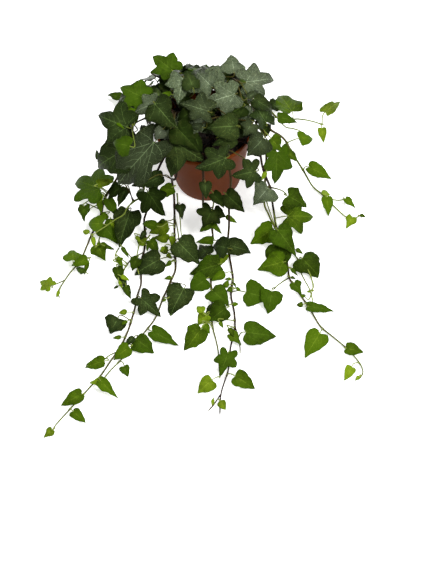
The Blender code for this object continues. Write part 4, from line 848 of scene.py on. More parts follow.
def sight(px, py):
    """The direction of the line of sight through a pixel."""
    across = (px - IMAGE_CENTRE[0]) / FOCAL_PIXELS
    down = (py - IMAGE_CENTRE[1]) / FOCAL_PIXELS
    return (RIGHT * across - UP * down - TO_EYE).normalized()


EYE = -sight(*ORIGIN_PIXEL) * DISTANCE


def at(px, py, height):
    """The point where a pixel's line of sight is at this height."""
    line = sight(px, py)
    return EYE + line * ((height - EYE.z) / line.z)


def at_depth(px, py, depth):
    """The point on a pixel's line of sight at this depth from the eye."""
    line = sight(px, py)
    return EYE - line * (depth / line.dot(TO_EYE))


def pixel(point):
    """Where a point is seen in the photograph."""
    offset = point - EYE
    depth = -offset.dot(TO_EYE)
    x = IMAGE_CENTRE[0] + FOCAL_PIXELS * offset.dot(RIGHT) / depth
    y = IMAGE_CENTRE[1] - FOCAL_PIXELS * offset.dot(UP) / depth
    return Vector((x, y))


def to_dome(vector):
    return Vector((vector.x / DOME_AXES.x, vector.y / DOME_AXES.y, vector.z / DOME_AXES.z))


def dome_normal(point):
    """The outward direction of the dome at a point."""
    return to_dome(to_dome(point - DOME_CENTRE)).normalized()


def on_dome(px, py, scale):
    """The near point where a pixel's line of sight meets the dome, or passes nearest to it."""
    line = sight(px, py)
    start = to_dome(EYE - DOME_CENTRE) / scale
    step = to_dome(line) / scale
    a = step.dot(step)
    b = start.dot(step)
    c = start.dot(start) - 1
    room = max(b * b - a * c, 0)
    return EYE + line * ((-b - math.sqrt(room)) / a)


def dome_point(azimuth, elevation, scale):
    """A point of the dome by its angles in degrees; azimuth 0 faces the viewer and 90 faces +X."""
    turn = math.radians(azimuth)
    rise = math.radians(elevation)
    x = math.cos(rise) * math.sin(turn)
    y = -math.cos(rise) * math.cos(turn)
    z = math.sin(rise)
    return DOME_CENTRE + Vector((x * DOME_AXES.x, y * DOME_AXES.y, z * DOME_AXES.z)) * scale


# Ways of the stems

def millimetres(values):
    return Vector(values) * MM


def length_of(line):
    return sum((b - a).length for a, b in zip(line, line[1:]))


def smooth(points, spacing):
    """Points about one spacing apart on a Catmull-Rom curve through the given points."""
    ends = [points[0] * 2 - points[1]] + points + [points[-1] * 2 - points[-2]]
    result = []
    for a, b, c, d in zip(ends, ends[1:], ends[2:], ends[3:]):
        steps = max(1, round((c - b).length / spacing))
        for i in range(steps):
            t = i / steps
            result.append(0.5 * (2 * b + (c - a) * t + (2 * a - 5 * b + 4 * c - d) * t * t
                                 + (3 * b - a - 3 * c + d) * t * t * t))
    return result + [points[-1]]


def relaxed(line, passes):
    """A line with its turns rounded off; its ends stay."""
    for _ in range(passes):
        line = line[:1] + [(a + b * 2 + c) / 4 for a, b, c in zip(line, line[1:], line[2:])] + line[-1:]
    return line


def stem_line(hole, over, trail, spacing):
    """A stem's way: straight up out of its hole, then smooth over the lip and along its trail."""
    foot = Vector((hole[0] * MM, hole[1] * MM, SOIL_TOP - BURIED))
    collar = Vector((foot.x, foot.y, SOIL_TOP + COLLAR))
    return [foot] + smooth([collar] + [millimetres(p) for p in over] + trail, spacing)


def trail_of(name):
    """What a stem's line goes on along past its way over the lip."""
    spec = STEMS[name]
    if name in BACKS:
        return [millimetres(p) for p in spec["trail"]]
    if name in CROWNS:
        return []
    heights = [h * MM for h in spec["fall"]] + [FLOOR_HEIGHT] * len(spec["trail"])
    return [at(x, y, h) for (x, y), h in zip(spec["trail"], heights)]


def nearest_on(line, point, measure):
    """The place on a line of points that measures nearest to a point."""
    best = None
    for a, b in zip(line[1:], line[2:]):
        for i in range(5):
            place = a.lerp(b, i / 5)
            distance = measure(place, point)
            if best is None or distance < best[0]:
                best = (distance, place)
    return best[1]


def nearest_seen(line, px, py):
    """The place on a line that is seen nearest to a pixel."""
    return nearest_on(line, Vector((px, py)), lambda place, spot: (pixel(place) - spot).length)


def nearest_place(line, point):
    return nearest_on(line, point, lambda place, spot: (place - spot).length)


def lines_of(name, spacing):
    """A node's lines: its main stem, then its side shoots, which start inside the main stem."""
    spec = STEMS[name]
    lines = [stem_line(spec["hole"], spec.get("over", spec.get("reach")), trail_of(name), spacing)]
    for shoot in spec.get("shoots", []):
        root = nearest_seen(lines[0], *shoot[0])
        rise = root.z + SHOOT_RISE
        lines.append([root] + smooth([at(x, y, rise) for x, y in shoot[1:]], spacing))
    return lines


# Places of the leaves

def leaf(base, tip, normal, form, width, age, root):
    """What describes one leaf: blade base and tip, the way it faces, its form and its petiole's root."""
    if form == "heart" and (tip - base).length > LARGE:
        form = "broad"
    return {"base": base, "tip": tip, "normal": normal, "root": root, "form": form, "width": width,
            "age": age}


def swayed(normal, spread, dice):
    """A facing turned a little by the dice."""
    return normal + Vector((dice.uniform(-1, 1), dice.uniform(-1, 1), 0)) * spread


def trailing_leaf(row, lines, dice):
    """A leaf of a trailing stem, held a little over its stem, with its tip lower."""
    bx, by, tx, ty, form, width, age = row
    spot = Vector((bx, by))
    roots = [nearest_seen(line, bx, by) for line in lines]
    root = min(roots, key=lambda place: (pixel(place) - spot).length)
    apart = (pixel(root) - spot).length
    high = root.z + LEAF_RISE + RISE_PER_PIXEL * apart + dice.uniform(0, 1) * RISE_SPREAD
    base = at(bx, by, high)
    low = high
    # Three rounds settle the tip's height
    for _ in range(3):
        tip = at(tx, ty, low)
        low = max(high - TIP_DROP * (tip - base).length, TIP_HEIGHT)
    tip = at(tx, ty, low)
    out = Vector((root.x, root.y, 0)).normalized()
    normal = SKYWARD * TRAIL_FACING[0] + TO_EYE * TRAIL_FACING[1] + out * TRAIL_FACING[2]
    return leaf(base, tip, swayed(normal, TRAIL_FACING_SPREAD, dice), form, width, age, root)


def crown_leaf(row, lines, dice, scale=1.0):
    """A leaf of the crown, on the dome; it points away from the viewer or toward them by a limited slope."""
    bx, by, tx, ty, form, width, age = row
    base = on_dome(bx, by, scale)
    far = -(base - EYE).dot(TO_EYE)
    beside = at_depth(tx, ty, far)
    limit = STEEPEST * (beside - base).length
    slope = -(on_dome(tx, ty, CROWN_TIP_SCALE * scale) - base).dot(TO_EYE)
    tip = at_depth(tx, ty, far + max(-limit, min(limit, slope)))
    normal = dome_normal((base + tip) / 2) * CROWN_FACING[0] + TO_EYE * CROWN_FACING[1]
    root = nearest_place(lines[0], base)
    return leaf(base, tip, swayed(normal, CROWN_FACING_SPREAD, dice), form, width, age, root)


def rule_leaf(base, direction, normal, length, lines, dice):
    """A leaf of the hidden sides, in a form drawn by the dice."""
    form = dice.choice(("star", "tri", "heart", "heart"))
    age = dice.choice((OLD, OLD, MID))
    tip = base + direction.normalized() * length
    return leaf(base, tip, normal, form, RULE_WIDTHS[form], age, nearest_place(lines[0], base))


def sideways(direction):
    """The level direction square to another."""
    return Vector((-direction.y, direction.x, 0)).normalized()


def back_leaves(spec, lines, dice):
    """Leaves of a far-side stem: some hang outward from the dome, and some lie beside its trail by turns."""
    first, last = spec["sector"]
    leaves = []
    for i in range(BACK_LEAVES_ON_DOME):
        azimuth = first + (last - first) * ((i * GOLDEN_SHARE) % 1)
        share = (i + 0.5) / BACK_LEAVES_ON_DOME
        rise = LOWEST_RISE + (HIGHEST_RISE - LOWEST_RISE) * share + dice.uniform(-RISE_JITTER, RISE_JITTER)
        base = dome_point(azimuth, rise, BACK_SCALE)
        out = dome_normal(base)
        side = sideways(out) * dice.uniform(-BACK_SIDEWAYS, BACK_SIDEWAYS)
        direction = Vector((out.x, out.y, 0)) * BACK_OUTWARD + side - SKYWARD * BACK_DROP
        direction -= out * direction.dot(out) * BACK_FLATTENED
        length = dice.uniform(*BACK_LENGTHS)
        leaves.append(rule_leaf(base, direction, out + SKYWARD * BACK_TILT, length, lines, dice))
    line = lines[0][-BACK_TRAIL_POINTS:]
    for i, (before, place) in enumerate(zip(line, line[1:])):
        away = (place - before).normalized()
        side = sideways(away) * (1 if i % 2 else -1)
        base = place + side * BACK_TRAIL_BESIDE + SKYWARD * BACK_TRAIL_ABOVE
        base.z = max(base.z, BACK_TRAIL_LEAST)
        direction = side + away * BACK_TRAIL_AHEAD - SKYWARD * BACK_TRAIL_DIP
        length = dice.uniform(*BACK_TRAIL_LENGTHS)
        leaves.append(rule_leaf(base, direction, SKYWARD + side * BACK_TRAIL_TILT, length, lines, dice))
    return leaves


def inner_leaf(lines, dice):
    """A shaded leaf under the crown's outer layer, at the stem's top."""
    out = dome_normal(lines[0][-1])
    turn = math.radians(dice.uniform(-INNER_TURN, INNER_TURN))
    side = sideways(out)
    away = side * math.cos(turn) + out.cross(side) * math.sin(turn)
    place = lines[0][-3] + out * INNER_OUT + away * INNER_ASIDE
    return rule_leaf(place, away - out * INNER_SLOPE, out, dice.uniform(*INNER_LENGTHS), lines, dice)


def filling_leaf(row, lines, dice):
    """A leaf at the plant's back that points outward and a little down."""
    azimuth, radius, height, length, form, age = row
    turn = math.radians(azimuth)
    out = Vector((math.cos(turn), math.sin(turn), 0))
    aside = sideways(out)
    base = out * (radius * MM) + SKYWARD * (height * MM)
    way = (out + aside * dice.uniform(-FILL_TURN, FILL_TURN) - SKYWARD * FILL_DROP).normalized()
    facing = SKYWARD + out * FILL_TILT + aside * dice.uniform(-FILL_TURN, FILL_TURN)
    root = nearest_place(lines[0], base)
    return leaf(base, base + way * (length * MM), facing, form, RULE_WIDTHS[form], age, root)


def subdivided(line, spacing):
    """Points about one spacing apart along the straight runs of a line."""
    places = []
    for a, b in zip(line, line[1:]):
        steps = max(1, round((b - a).length / spacing))
        places += [a.lerp(b, i / steps) for i in range(steps)]
    return places


def spread_roots(leaves, lines):
    """Slides the petioles' roots along their stem until no two stand closer than the root spacing."""
    taken = []
    for spec in leaves:
        start = spec["root"]
        line = min(lines, key=lambda points: (nearest_place(points, start) - start).length)
        places = subdivided(line[1:], ROOT_SPACING)
        places.sort(key=lambda place: (place - start).length)
        apart = ROOT_SPACING * ROOT_SLACK
        spec["root"] = next(p for p in places if all((p - q).length > apart for q in taken))
        taken.append(spec["root"])


def packed_places(name, number):
    """A stem's lines and leaves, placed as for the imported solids."""
    dice = random.Random(PLACE_SEED + number)
    lines = lines_of(name, SEGMENT)
    rows = STEMS[name].get("leaves", ())
    if name in TRAILS:
        leaves = [trailing_leaf(row, lines, dice) for row in rows]
    elif name in CROWNS:
        leaves = [crown_leaf(row, lines, dice) for row in rows] + [inner_leaf(lines, dice)]
    else:
        leaves = back_leaves(STEMS[name], lines, dice)
    spread_roots(leaves, lines)
    return lines, leaves


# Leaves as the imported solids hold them

def frame_of(spec, lift, roll):
    """The base, tip, across and facing directions of a blade, lifted along the sight and rolled."""
    middle = (spec["base"] + spec["tip"]) / 2
    shift = (EYE - middle).normalized() * lift
    base = spec["base"] + shift
    tip = spec["tip"] + shift
    along = (tip - base).normalized()
    facing = spec["normal"] - along * spec["normal"].dot(along)
    facing.normalize()
    across = along.cross(facing)
    turned = across * math.cos(roll) + facing * math.sin(roll)
    return base, tip, turned, turned.cross(along)


def arch_of(age, along, wide):
    """How far an arched blade stands over its straight line, as a share of its length."""
    rise = (ARCH_ALONG[0] + ARCH_ALONG[1] * age) * along * (1 - along)
    return rise - (ARCH_ACROSS[0] + ARCH_ACROSS[1] * age) * wide * wide


def blade_point(spec, held, x, y):
    """A point of the blade's middle surface, arched along and across; x and y are shares of its length."""
    base, tip, across, facing = held
    length = (tip - base).length
    wide = x * spec["width"] / WIDTHS[spec["form"]]
    arch = arch_of(spec["age"], y, wide)
    return base + (tip - base) * y + across * (wide * length) + facing * (arch * length)


def petiole_line(spec, held, sag):
    """The petiole's way: from the blade's neck, in a bow, to the middle of its stem."""
    root = spec["root"]
    neck = blade_point(spec, held, 0, 0.0)
    along = (held[1] - held[0]).normalized()
    reach = (neck - root).length
    straight = (neck - root).dot(along) > STRAIGHT_SHARE * reach
    if straight and reach < STRAIGHT_REACH:
        return [neck, root]
    bow = SKYWARD * (sag * reach)
    if straight:
        return [neck, (root + neck) / 2 + bow, root]
    bend = min(NECK_BEND, NECK_SHARE * reach)
    back = neck - along * bend - held[3] * (bend * NECK_DROP)
    if reach < BOWED_REACH:
        return [neck, back, root]
    return [neck, back, (root + back) / 2 + bow, root]


def variants(spec):
    """The places tried for a leaf, in order: lifts along the sight, then rolls, then petiole bows."""
    for lift in LIFTS:
        for roll in ROLLS:
            held = frame_of(spec, lift * MM, math.radians(roll))
            for sag in SAGS:
                yield held, sag


def corner_tree(node):
    """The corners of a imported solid, ready to be searched by place."""
    vertices = frame["nodes"][node].data.vertices
    tree = KDTree(len(vertices))
    for index, vertex in enumerate(vertices):
        tree.insert(vertex.co, index)
    tree.balance()
    return tree


def packed_leaf(spec, tree):
    """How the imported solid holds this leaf, with its petiole's way, or None where it has no such leaf."""
    corners = [(0, 1)] + [(side * x, y) for x, y in OUTLINES[spec["form"]] for side in (1, -1)]
    tried = None
    spare = None
    for held, sag in variants(spec):
        if held is not tried:
            tried = held
            places = [blade_point(spec, held, x, y) + held[3] * (BLADE / 2) for x, y in corners]
            found = sum(tree.find(place)[2] < MATCH for place in places)
            matched = found >= MATCHED_SHARE * len(places)
        if not matched:
            continue
        line = petiole_line(spec, held, sag)
        if len(line) == 2:
            return held, line
        nearby = tree.find_range(line[-2], PETIOLE_RADIUS + MATCH)
        ring = [corner for corner in nearby if corner[2] > PETIOLE_RADIUS - MATCH]
        if len(ring) >= RING_CORNERS:
            return held, line
        spare = spare or (held, line)
    return spare


# Leaf patterns: one for each form and fineness, as shares of a blade's length

def smooth_flat(points, spacing):
    return [Vector((p.x, p.y)) for p in smooth([Vector((x, y, 0)) for x, y in points], spacing)]


def mirrored(points):
    return [Vector((-p.x, p.y)) for p in points]


def half_edge(form, spacing):
    """Half of a blade's edge from tip to neck, smooth between the points where it turns sharply."""
    half = []
    for run in EDGES[form]:
        half += smooth_flat(run, spacing)[:-1]
    return half


def along_line(line, share):
    """The place and direction at a share of a line's length."""
    left = share * length_of(line)
    for a, b in zip(line, line[1:]):
        run = (b - a).length
        if left <= run or b is line[-1]:
            return a.lerp(b, min(left / run, 1)), (b - a).normalized()
        left -= run


def side_veins(line, count, reach, side):
    """Finer veins that leave one side of a main vein forward, and curve on toward the tip of their lobe."""
    total = length_of(line)
    branches = []
    for i in range(count):
        step = (i + 0.75 + SIDE_VEIN_APART * side) / (count + 0.6)
        share = SIDE_VEIN_FIRST + (1 - SIDE_VEIN_FIRST) * step
        foot, ahead = along_line(line, share)
        out = Vector((ahead.y, -ahead.x)) * side
        long = reach * (1 - SIDE_VEIN_SHORTENED * share) * total
        branches.append([foot] + [foot + (out * aside + ahead * on) * long for aside, on in SIDE_VEIN_STEPS])
    return branches


def edge_reach(edge, spot):
    """How far a spot lies from the middle toward the edge: 0 there and 1 on the edge."""
    offset = spot - HEART
    if offset.length < 1e-6:
        return 0.0
    ahead = offset.normalized()
    best = None
    for a, b in zip(edge, edge[1:] + edge[:1]):
        u, v = a - HEART, b - HEART
        turn = ahead.x * (u.y - v.y) - ahead.y * (u.x - v.x)
        if abs(turn) < 1e-9:
            continue
        t = (ahead.x * u.y - ahead.y * u.x) / turn
        place = u.lerp(v, t)
        if -1e-6 <= t <= 1 + 1e-6 and place.dot(ahead) > 0:
            best = max(best or 0, place.length)
    return min(offset.length / best, 1.0) if best else 1.0


def inside(line, edge):
    """A vein's smooth way, as far as it stays inside the blade's edge."""
    places = []
    for place in smooth_flat([(p.x, p.y) for p in line], VEIN_SPACING):
        if place.length > NECK_ROOM and edge_reach(edge, place) > VEIN_END:
            break
        places.append(place)
    return places


def veins_of(form, fine, edge):
    """A blade's veins: (points, width at the start, width at the end), from the neck outward."""
    veins = []
    for number, (points, sides, reach) in enumerate(VEINS[form]):
        wide = VEIN_WIDTH * VEIN_SHARES[number]
        places = smooth_flat(points, 0.1)
        for line in [places, mirrored(places)] if number else [places]:
            veins.append((line, wide, wide * VEIN_END_WIDTH))
            for side in (1, -1) if fine else ():
                for branch in side_veins(line, sides, reach, side):
                    veins.append((branch, wide * SIDE_VEIN_WIDTHS[0], wide * SIDE_VEIN_WIDTHS[1]))
    veins = [(inside(line, edge), wide, thin) for line, wide, thin in veins]
    return [vein for vein in veins if len(vein[0]) > 1]


def nearness(spot, veins):
    """How near a spot is to a vein: 1 on it, and slightly less from one vein's width away."""
    least = 1.0
    for line, wide, _ in veins:
        for a, b in zip(line, line[1:]):
            run = b - a
            t = max(0, min(1, (spot - a).dot(run) / run.length_squared))
            least = min(least, (spot - a - run * t).length / wide)
    return math.exp(-(least * least) / VEIN_REACH)


def leaf_pattern(form, fine):
    """The points and faces of a blade's two sides and of its raised veins.

    Each point has its place across and along, its reach toward the edge, its nearness to a vein, its lift
    over the middle surface in half thicknesses or vein heights, and marks for the underside and the veins.
    """
    half = half_edge(form, FINE_SPACING if fine else PLAIN_SPACING)
    edge = half + [Vector((0, 0))] + mirrored(half[:0:-1])
    count = len(edge)
    veins = veins_of(form, fine, edge)
    rows, faces = [], []

    def side(rings, lift, under):
        """Adds one side of the blade, and gives the first point of its edge."""
        first = len(rows)
        rows.append((HEART.x, HEART.y, 0.0, nearness(HEART, veins), lift, under, 0.0))
        for share in rings:
            for p in edge:
                spot = HEART.lerp(p, share)
                rows.append((spot.x, spot.y, share, nearness(spot, veins), lift, under, 0.0))
        for i in range(count):
            j = (i + 1) % count
            loop = [(first, first + 1 + i, first + 1 + j)]
            for ring in range(len(rings) - 1):
                a = first + 1 + ring * count
                b = a + count
                loop.append((a + i, b + i, b + j, a + j))
            faces.extend(loop if under else [face[::-1] for face in loop])
        return len(rows) - count

    upper = side(FINE_RINGS if fine else PLAIN_RINGS, 1, 0.0)
    lower = side(UNDER_RINGS if fine else PLAIN_RINGS, -1, 1.0)
    for i in range(count):
        j = (i + 1) % count
        faces.append((upper + i, upper + j, lower + j, lower + i))

    for line, wide, thin in veins:
        last = len(line) - 1
        for k, spot in enumerate(line):
            ahead = (line[min(k + 1, last)] - line[max(k - 1, 0)]).normalized()
            across = Vector((ahead.y, -ahead.x)) * ((wide + (thin - wide) * k / last) / 2)
            ridge = ((spot + across, 0, VEIN_SIDE), (spot, 1, 1.0), (spot - across, 0, VEIN_SIDE))
            for p, lift, pale in ridge:
                rows.append((p.x, p.y, edge_reach(edge, p), 1.0, lift, 0.0, pale))
            if k:
                b = len(rows) - 3
                a = b - 3
                faces.extend([(a, b, b + 1, a + 1), (a + 1, b + 1, b + 2, a + 2)])
    return np.array(rows), faces


PATTERNS = {(form, fine): leaf_pattern(form, fine) for form in EDGES for fine in (True, False)}


# Objects and pieces

def new_object(name, data):
    made = bpy.data.objects.new(name, data)
    bpy.context.scene.collection.objects.link(made)
    return made


def mesh_from(bm, name):
    mesh = bpy.data.meshes.new(name)
    bm.to_mesh(mesh)
    bm.free()
    return mesh


class StemPiece:
    """The points, faces and marks gathered for one leafy stem."""

    def __init__(self):
        self.points, self.faces, self.slots, self.marks = [], [], [], []
        self.count = 0

    def add(self, points, faces, slot, marks):
        self.points.append(points)
        self.faces += [tuple(self.count + i for i in face) for face in faces]
        self.slots += [slot] * len(faces)
        self.marks.append(marks)
        self.count += len(points)

    def finish(self, node, materials):
        mesh = bpy.data.meshes.new(node + "_leaves")
        mesh.from_pydata(np.vstack(self.points).tolist(), [], self.faces)
        marks = np.vstack(self.marks).astype(np.float32)
        for column, mark in enumerate(MARKS):
            layer = mesh.attributes.new(mark, "FLOAT", "POINT")
            layer.data.foreach_set("value", marks[:, column].copy())
        corners = np.empty(len(mesh.loops), np.int32)
        mesh.loops.foreach_get("vertex_index", corners)
        uv = mesh.uv_layers.new(name="leaf")
        uv.data.foreach_set("uv", marks[corners][:, len(MARKS):].ravel())
        for made in materials:
            mesh.materials.append(made)
        mesh.polygons.foreach_set("material_index", np.array(self.slots, np.int32))
        mesh.shade_smooth()
        leaves = new_object(mesh.name, mesh)
        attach(leaves, "root")
        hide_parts(node)


def add_blade(piece, spec, held, age, narrow, dice):
    """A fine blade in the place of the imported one, arched as it is.

    Its edge is drawn in and out by a few slow waves, its halves are folded and turned a little about its
    midrib, its middle is hollowed a little, most along its veins, and its margin and tip ripple and curl.
    A ripe blade does nearly all of this more.
    """
    base, tip, across, facing = held
    length = (tip - base).length
    rows, faces = PATTERNS[spec.get("drawn", spec["form"]), length > FINE_LENGTH]
    x, y, rim, near, lift, under, vein = rows.T
    ripe = LEAST_RIPE + (1 - LEAST_RIPE) * spec["age"]
    turn = np.arctan2(x, y - HEART.y)

    def waves(table):
        return sum(size * np.sin(turn * count + dice.uniform(0, math.tau)) for count, size in table)

    draw = 1 + ripe * rim ** 2 * waves(EDGE_DRAWS)
    stretch = spec["width"] / WIDTHS[spec["form"]] * narrow
    lean = dice.uniform(-LEAN, LEAN)
    fuller = dice.uniform(-FULLER, FULLER)
    flat_x = x * draw * (1 + fuller * np.sign(x)) + lean * rim * np.clip(y * (1 - y), 0, 1) * 2
    wide = flat_x * stretch
    long = HEART.y + (y - HEART.y) * np.where(y > TIP_KEPT, 1, draw)
    fold = ripe * dice.uniform(*FOLD) * np.abs(wide) * (1 - 0.5 * long)
    twist = dice.uniform(-TWIST, TWIST) * wide * long
    ripple = ripe * rim ** 3 * waves(EDGE_RIPPLES)
    curl = -dice.uniform(*TIP_CURL) * np.clip(long - CURL_START, 0, 1) ** 2
    hollow = HOLLOW * ripe * near * (1 - 0.6 * rim)
    height = arch_of(spec["age"], long, wide) + fold + twist + ripple + curl - hollow
    skin = lift * BLADE_HALF * (1 - 0.8 * rim ** 3)
    thick = np.where(vein > 0, lift * VEIN_HEIGHT * length + BLADE_HALF * (1 - rim), skin)
    points = (np.array(base) + np.outer(long, np.array(tip - base)) + np.outer(wide * length, across)
              + np.outer(height * length + thick, facing))
    points[:, 2] = np.maximum(points[:, 2], LOWEST_POINT)
    pale = np.maximum(vein, near ** 4 * VEIN_GLOW * (1 - rim))
    same = np.ones(len(rows))
    marks = np.column_stack([under, pale, rim, same * dice.random(), same * age, wide * length, y * length])
    piece.add(points, faces, AGES.index(age), marks)


def add_tube(piece, line, radii, sides, ages, dice):
    """A round tube along a line, closed at both ends. ages is how old it looks at each end."""
    shade = dice.random()
    last = len(line) - 1
    points, marks = [], []
    side = None
    travelled = 0.0
    for k, place in enumerate(line):
        ahead = (line[min(k + 1, last)] - line[max(k - 1, 0)]).normalized()
        if side is None:
            side = ahead.orthogonal().normalized()
        side = (side - ahead * side.dot(ahead)).normalized()
        other = ahead.cross(side)
        if k:
            travelled += (place - line[k - 1]).length
        grown = ages[0] + (ages[1] - ages[0]) * k / last
        for i in range(sides):
            turn = math.tau * i / sides
            points.append(place + (side * math.cos(turn) + other * math.sin(turn)) * radii[k])
            marks.append((0, 0, 0, shade, grown, radii[k] * abs(math.pi - turn), travelled))
    faces = []
    for k in range(last):
        a = k * sides
        b = a + sides
        for i in range(sides):
            j = (i + 1) % sides
            faces.append((a + i, a + j, b + j, b + i))
    faces += [tuple(range(sides))[::-1], tuple(last * sides + i for i in range(sides))]
    piece.add(np.array(points), faces, STEM_SLOT, np.array(marks))


def stem_radii(line, first, joints):
    """A stem's radius at each point: it shrinks to its tip and swells where petioles leave it."""
    total = length_of(line)
    radii, travelled = [], 0.0
    for k, place in enumerate(line):
        travelled += (place - line[k - 1]).length if k else 0
        plain = first + (STEM_TIP - first) * (travelled / total) ** STEM_FULL
        swell = sum(math.exp(-((place - joint).length / JOINT_LENGTH) ** 2) for joint in joints)
        radii.append(plain * (1 + JOINT_SWELL * min(swell, 1)))
    radii[-1] *= STEM_END
    return radii


def add_petiole(piece, spec, held, line, stem_lines, age, dice):
    """A petiole from under its blade's neck to the stem, in one smooth bow."""
    root = min((nearest_place(stem, line[-1]) for stem in stem_lines), key=lambda p: (p - line[-1]).length)
    along = (held[1] - held[0]).normalized()
    neck = blade_point(spec, held, 0, 0) - held[3] * PETIOLE_UNDER
    ways = [neck + along * PETIOLE_START, neck] + line[1:-1] + [root]
    places = relaxed(smooth(ways, PETIOLE_STEP), PETIOLE_EASE)
    count = len(places)
    full = PETIOLE_FULL * PETIOLE_RADIUS
    radii = [full * (PETIOLE_THIN + (1 - PETIOLE_THIN) * k / count) for k in range(count)]
    for end, share in PETIOLE_ENDS.items():
        radii[end] *= share
    tone = PETIOLE_TONE[0] + PETIOLE_TONE[1] * age ** 2
    add_tube(piece, places, radii, PETIOLE_SIDES, (tone * PETIOLE_FRESHER, tone), dice)


def extra_leaves(name, lines, dice):
    """The leaves of a stem that have no solids: leaflets, shaded ones and ones that fill the back."""
    leaves = [trailing_leaf(row, lines, dice) for row in LEAFLETS.get(name, ())]
    leaves += [crown_leaf(row[:-1], lines, dice, row[-1]) for row in UNDER_LEAVES.get(name, ())]
    leaves += [filling_leaf(row, lines, dice) for row in BACK_FILL.get(name, ())]
    return leaves


def build_stem(name, number, looks):
    """One leafy stem: its fine stem and shoots, and each leaf with its petiole.

    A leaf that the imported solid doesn't have is left out.
    """
    piece = StemPiece()
    packed_lines, leaves = packed_places(name, number)
    dice = random.Random(SHAPE_SEED + number)
    for row, form in SEEN_FORMS.get(name, {}).items():
        leaves[row]["drawn"] = form
    tree = corner_tree(name)
    held_leaves = []
    for row, spec in enumerate(leaves):
        found = packed_leaf(spec, tree)
        if found:
            age = SEEN_AGES.get(name, {}).get(row, spec["age"])
            held_leaves.append((spec, *found, age, SEEN_WIDTHS.get(name, {}).get(row, 1)))
    for spec in extra_leaves(name, packed_lines, dice):
        held = frame_of(spec, 0, 0)
        held_leaves.append((spec, held, petiole_line(spec, held, SAGS[0]), spec["age"], 1))
    joints = [line[-1] for _, _, line, _, _ in held_leaves]
    ages = STEM_AGES.get(name, CROWN_STEM if name in CROWNS else GROWN_STEM)
    lines = [relaxed(line, STEM_EASE) for line in lines_of(name, STEM_STEP)]
    add_tube(piece, lines[0], stem_radii(lines[0], STEM_RADIUS, joints), STEM_SIDES, ages, dice)
    for line in lines[1:]:
        radii = stem_radii(line, SHOOT_RADIUS, joints)
        shoot_ages = (ages[1] + SHOOT_BASE_OLDER, ages[1] * SHOOT_TIP_YOUNGER)
        add_tube(piece, line, radii, STEM_SIDES, shoot_ages, dice)
    for points in PALE_SHOOTS.get(name, ()):
        line = smooth([at(x, y, high * MM) for x, y, high in points], STEM_STEP)
        radii = [PALE_RADIUS * (1 - PALE_TAPER * k / len(line)) for k in range(len(line))]
        add_tube(piece, line, radii, PALE_SIDES, PALE_AGES, dice)
    for spec, held, line, age, narrow in held_leaves:
        add_blade(piece, spec, held, age, narrow, dice)
        add_petiole(piece, spec, held, line, lines, age, dice)
    piece.finish(name, looks)


# The pot and its soil

def outer_radius(height):
    return BASE_RADIUS + (RIM_RADIUS - LIP_WALL + WALL - BASE_RADIUS) * height / (POT_HEIGHT - LIP_DEPTH)


def turned_body(name, profile, steps):
    """A closed body turned round Z from a profile of (radius, height) whose ends lie on the axis."""
    bm = bmesh.new()
    verts = [bm.verts.new((radius, 0, height)) for radius, height in profile]
    edges = [bm.edges.new(pair) for pair in zip(verts, verts[1:])]
    bmesh.ops.spin(bm, geom=verts + edges, cent=(0, 0, 0), axis=(0, 0, 1), angle=math.tau, steps=steps,
                   use_merge=True)
    bmesh.ops.remove_doubles(bm, verts=bm.verts[:], dist=0.001 * MM)
    bmesh.ops.recalc_face_normals(bm, faces=bm.faces[:])
    return new_object(name, mesh_from(bm, name))


def finished(mesh, looks, crease):
    """Gives a mesh its one material and soft shading. Edges past the crease, in degrees, stay sharp."""
    mesh.materials.clear()
    mesh.materials.append(looks)
    mesh.shade_smooth()
    mesh.set_sharp_from_angle(angle=math.radians(crease))


def arc(centre, radius, first, last, count):
    """Profile points along an arc, its angles in degrees from outward to upward."""
    points = []
    for i in range(count + 1):
        turn = math.radians(first + (last - first) * i / count)
        points.append((centre[0] + radius * math.cos(turn), centre[1] + radius * math.sin(turn)))
    return points


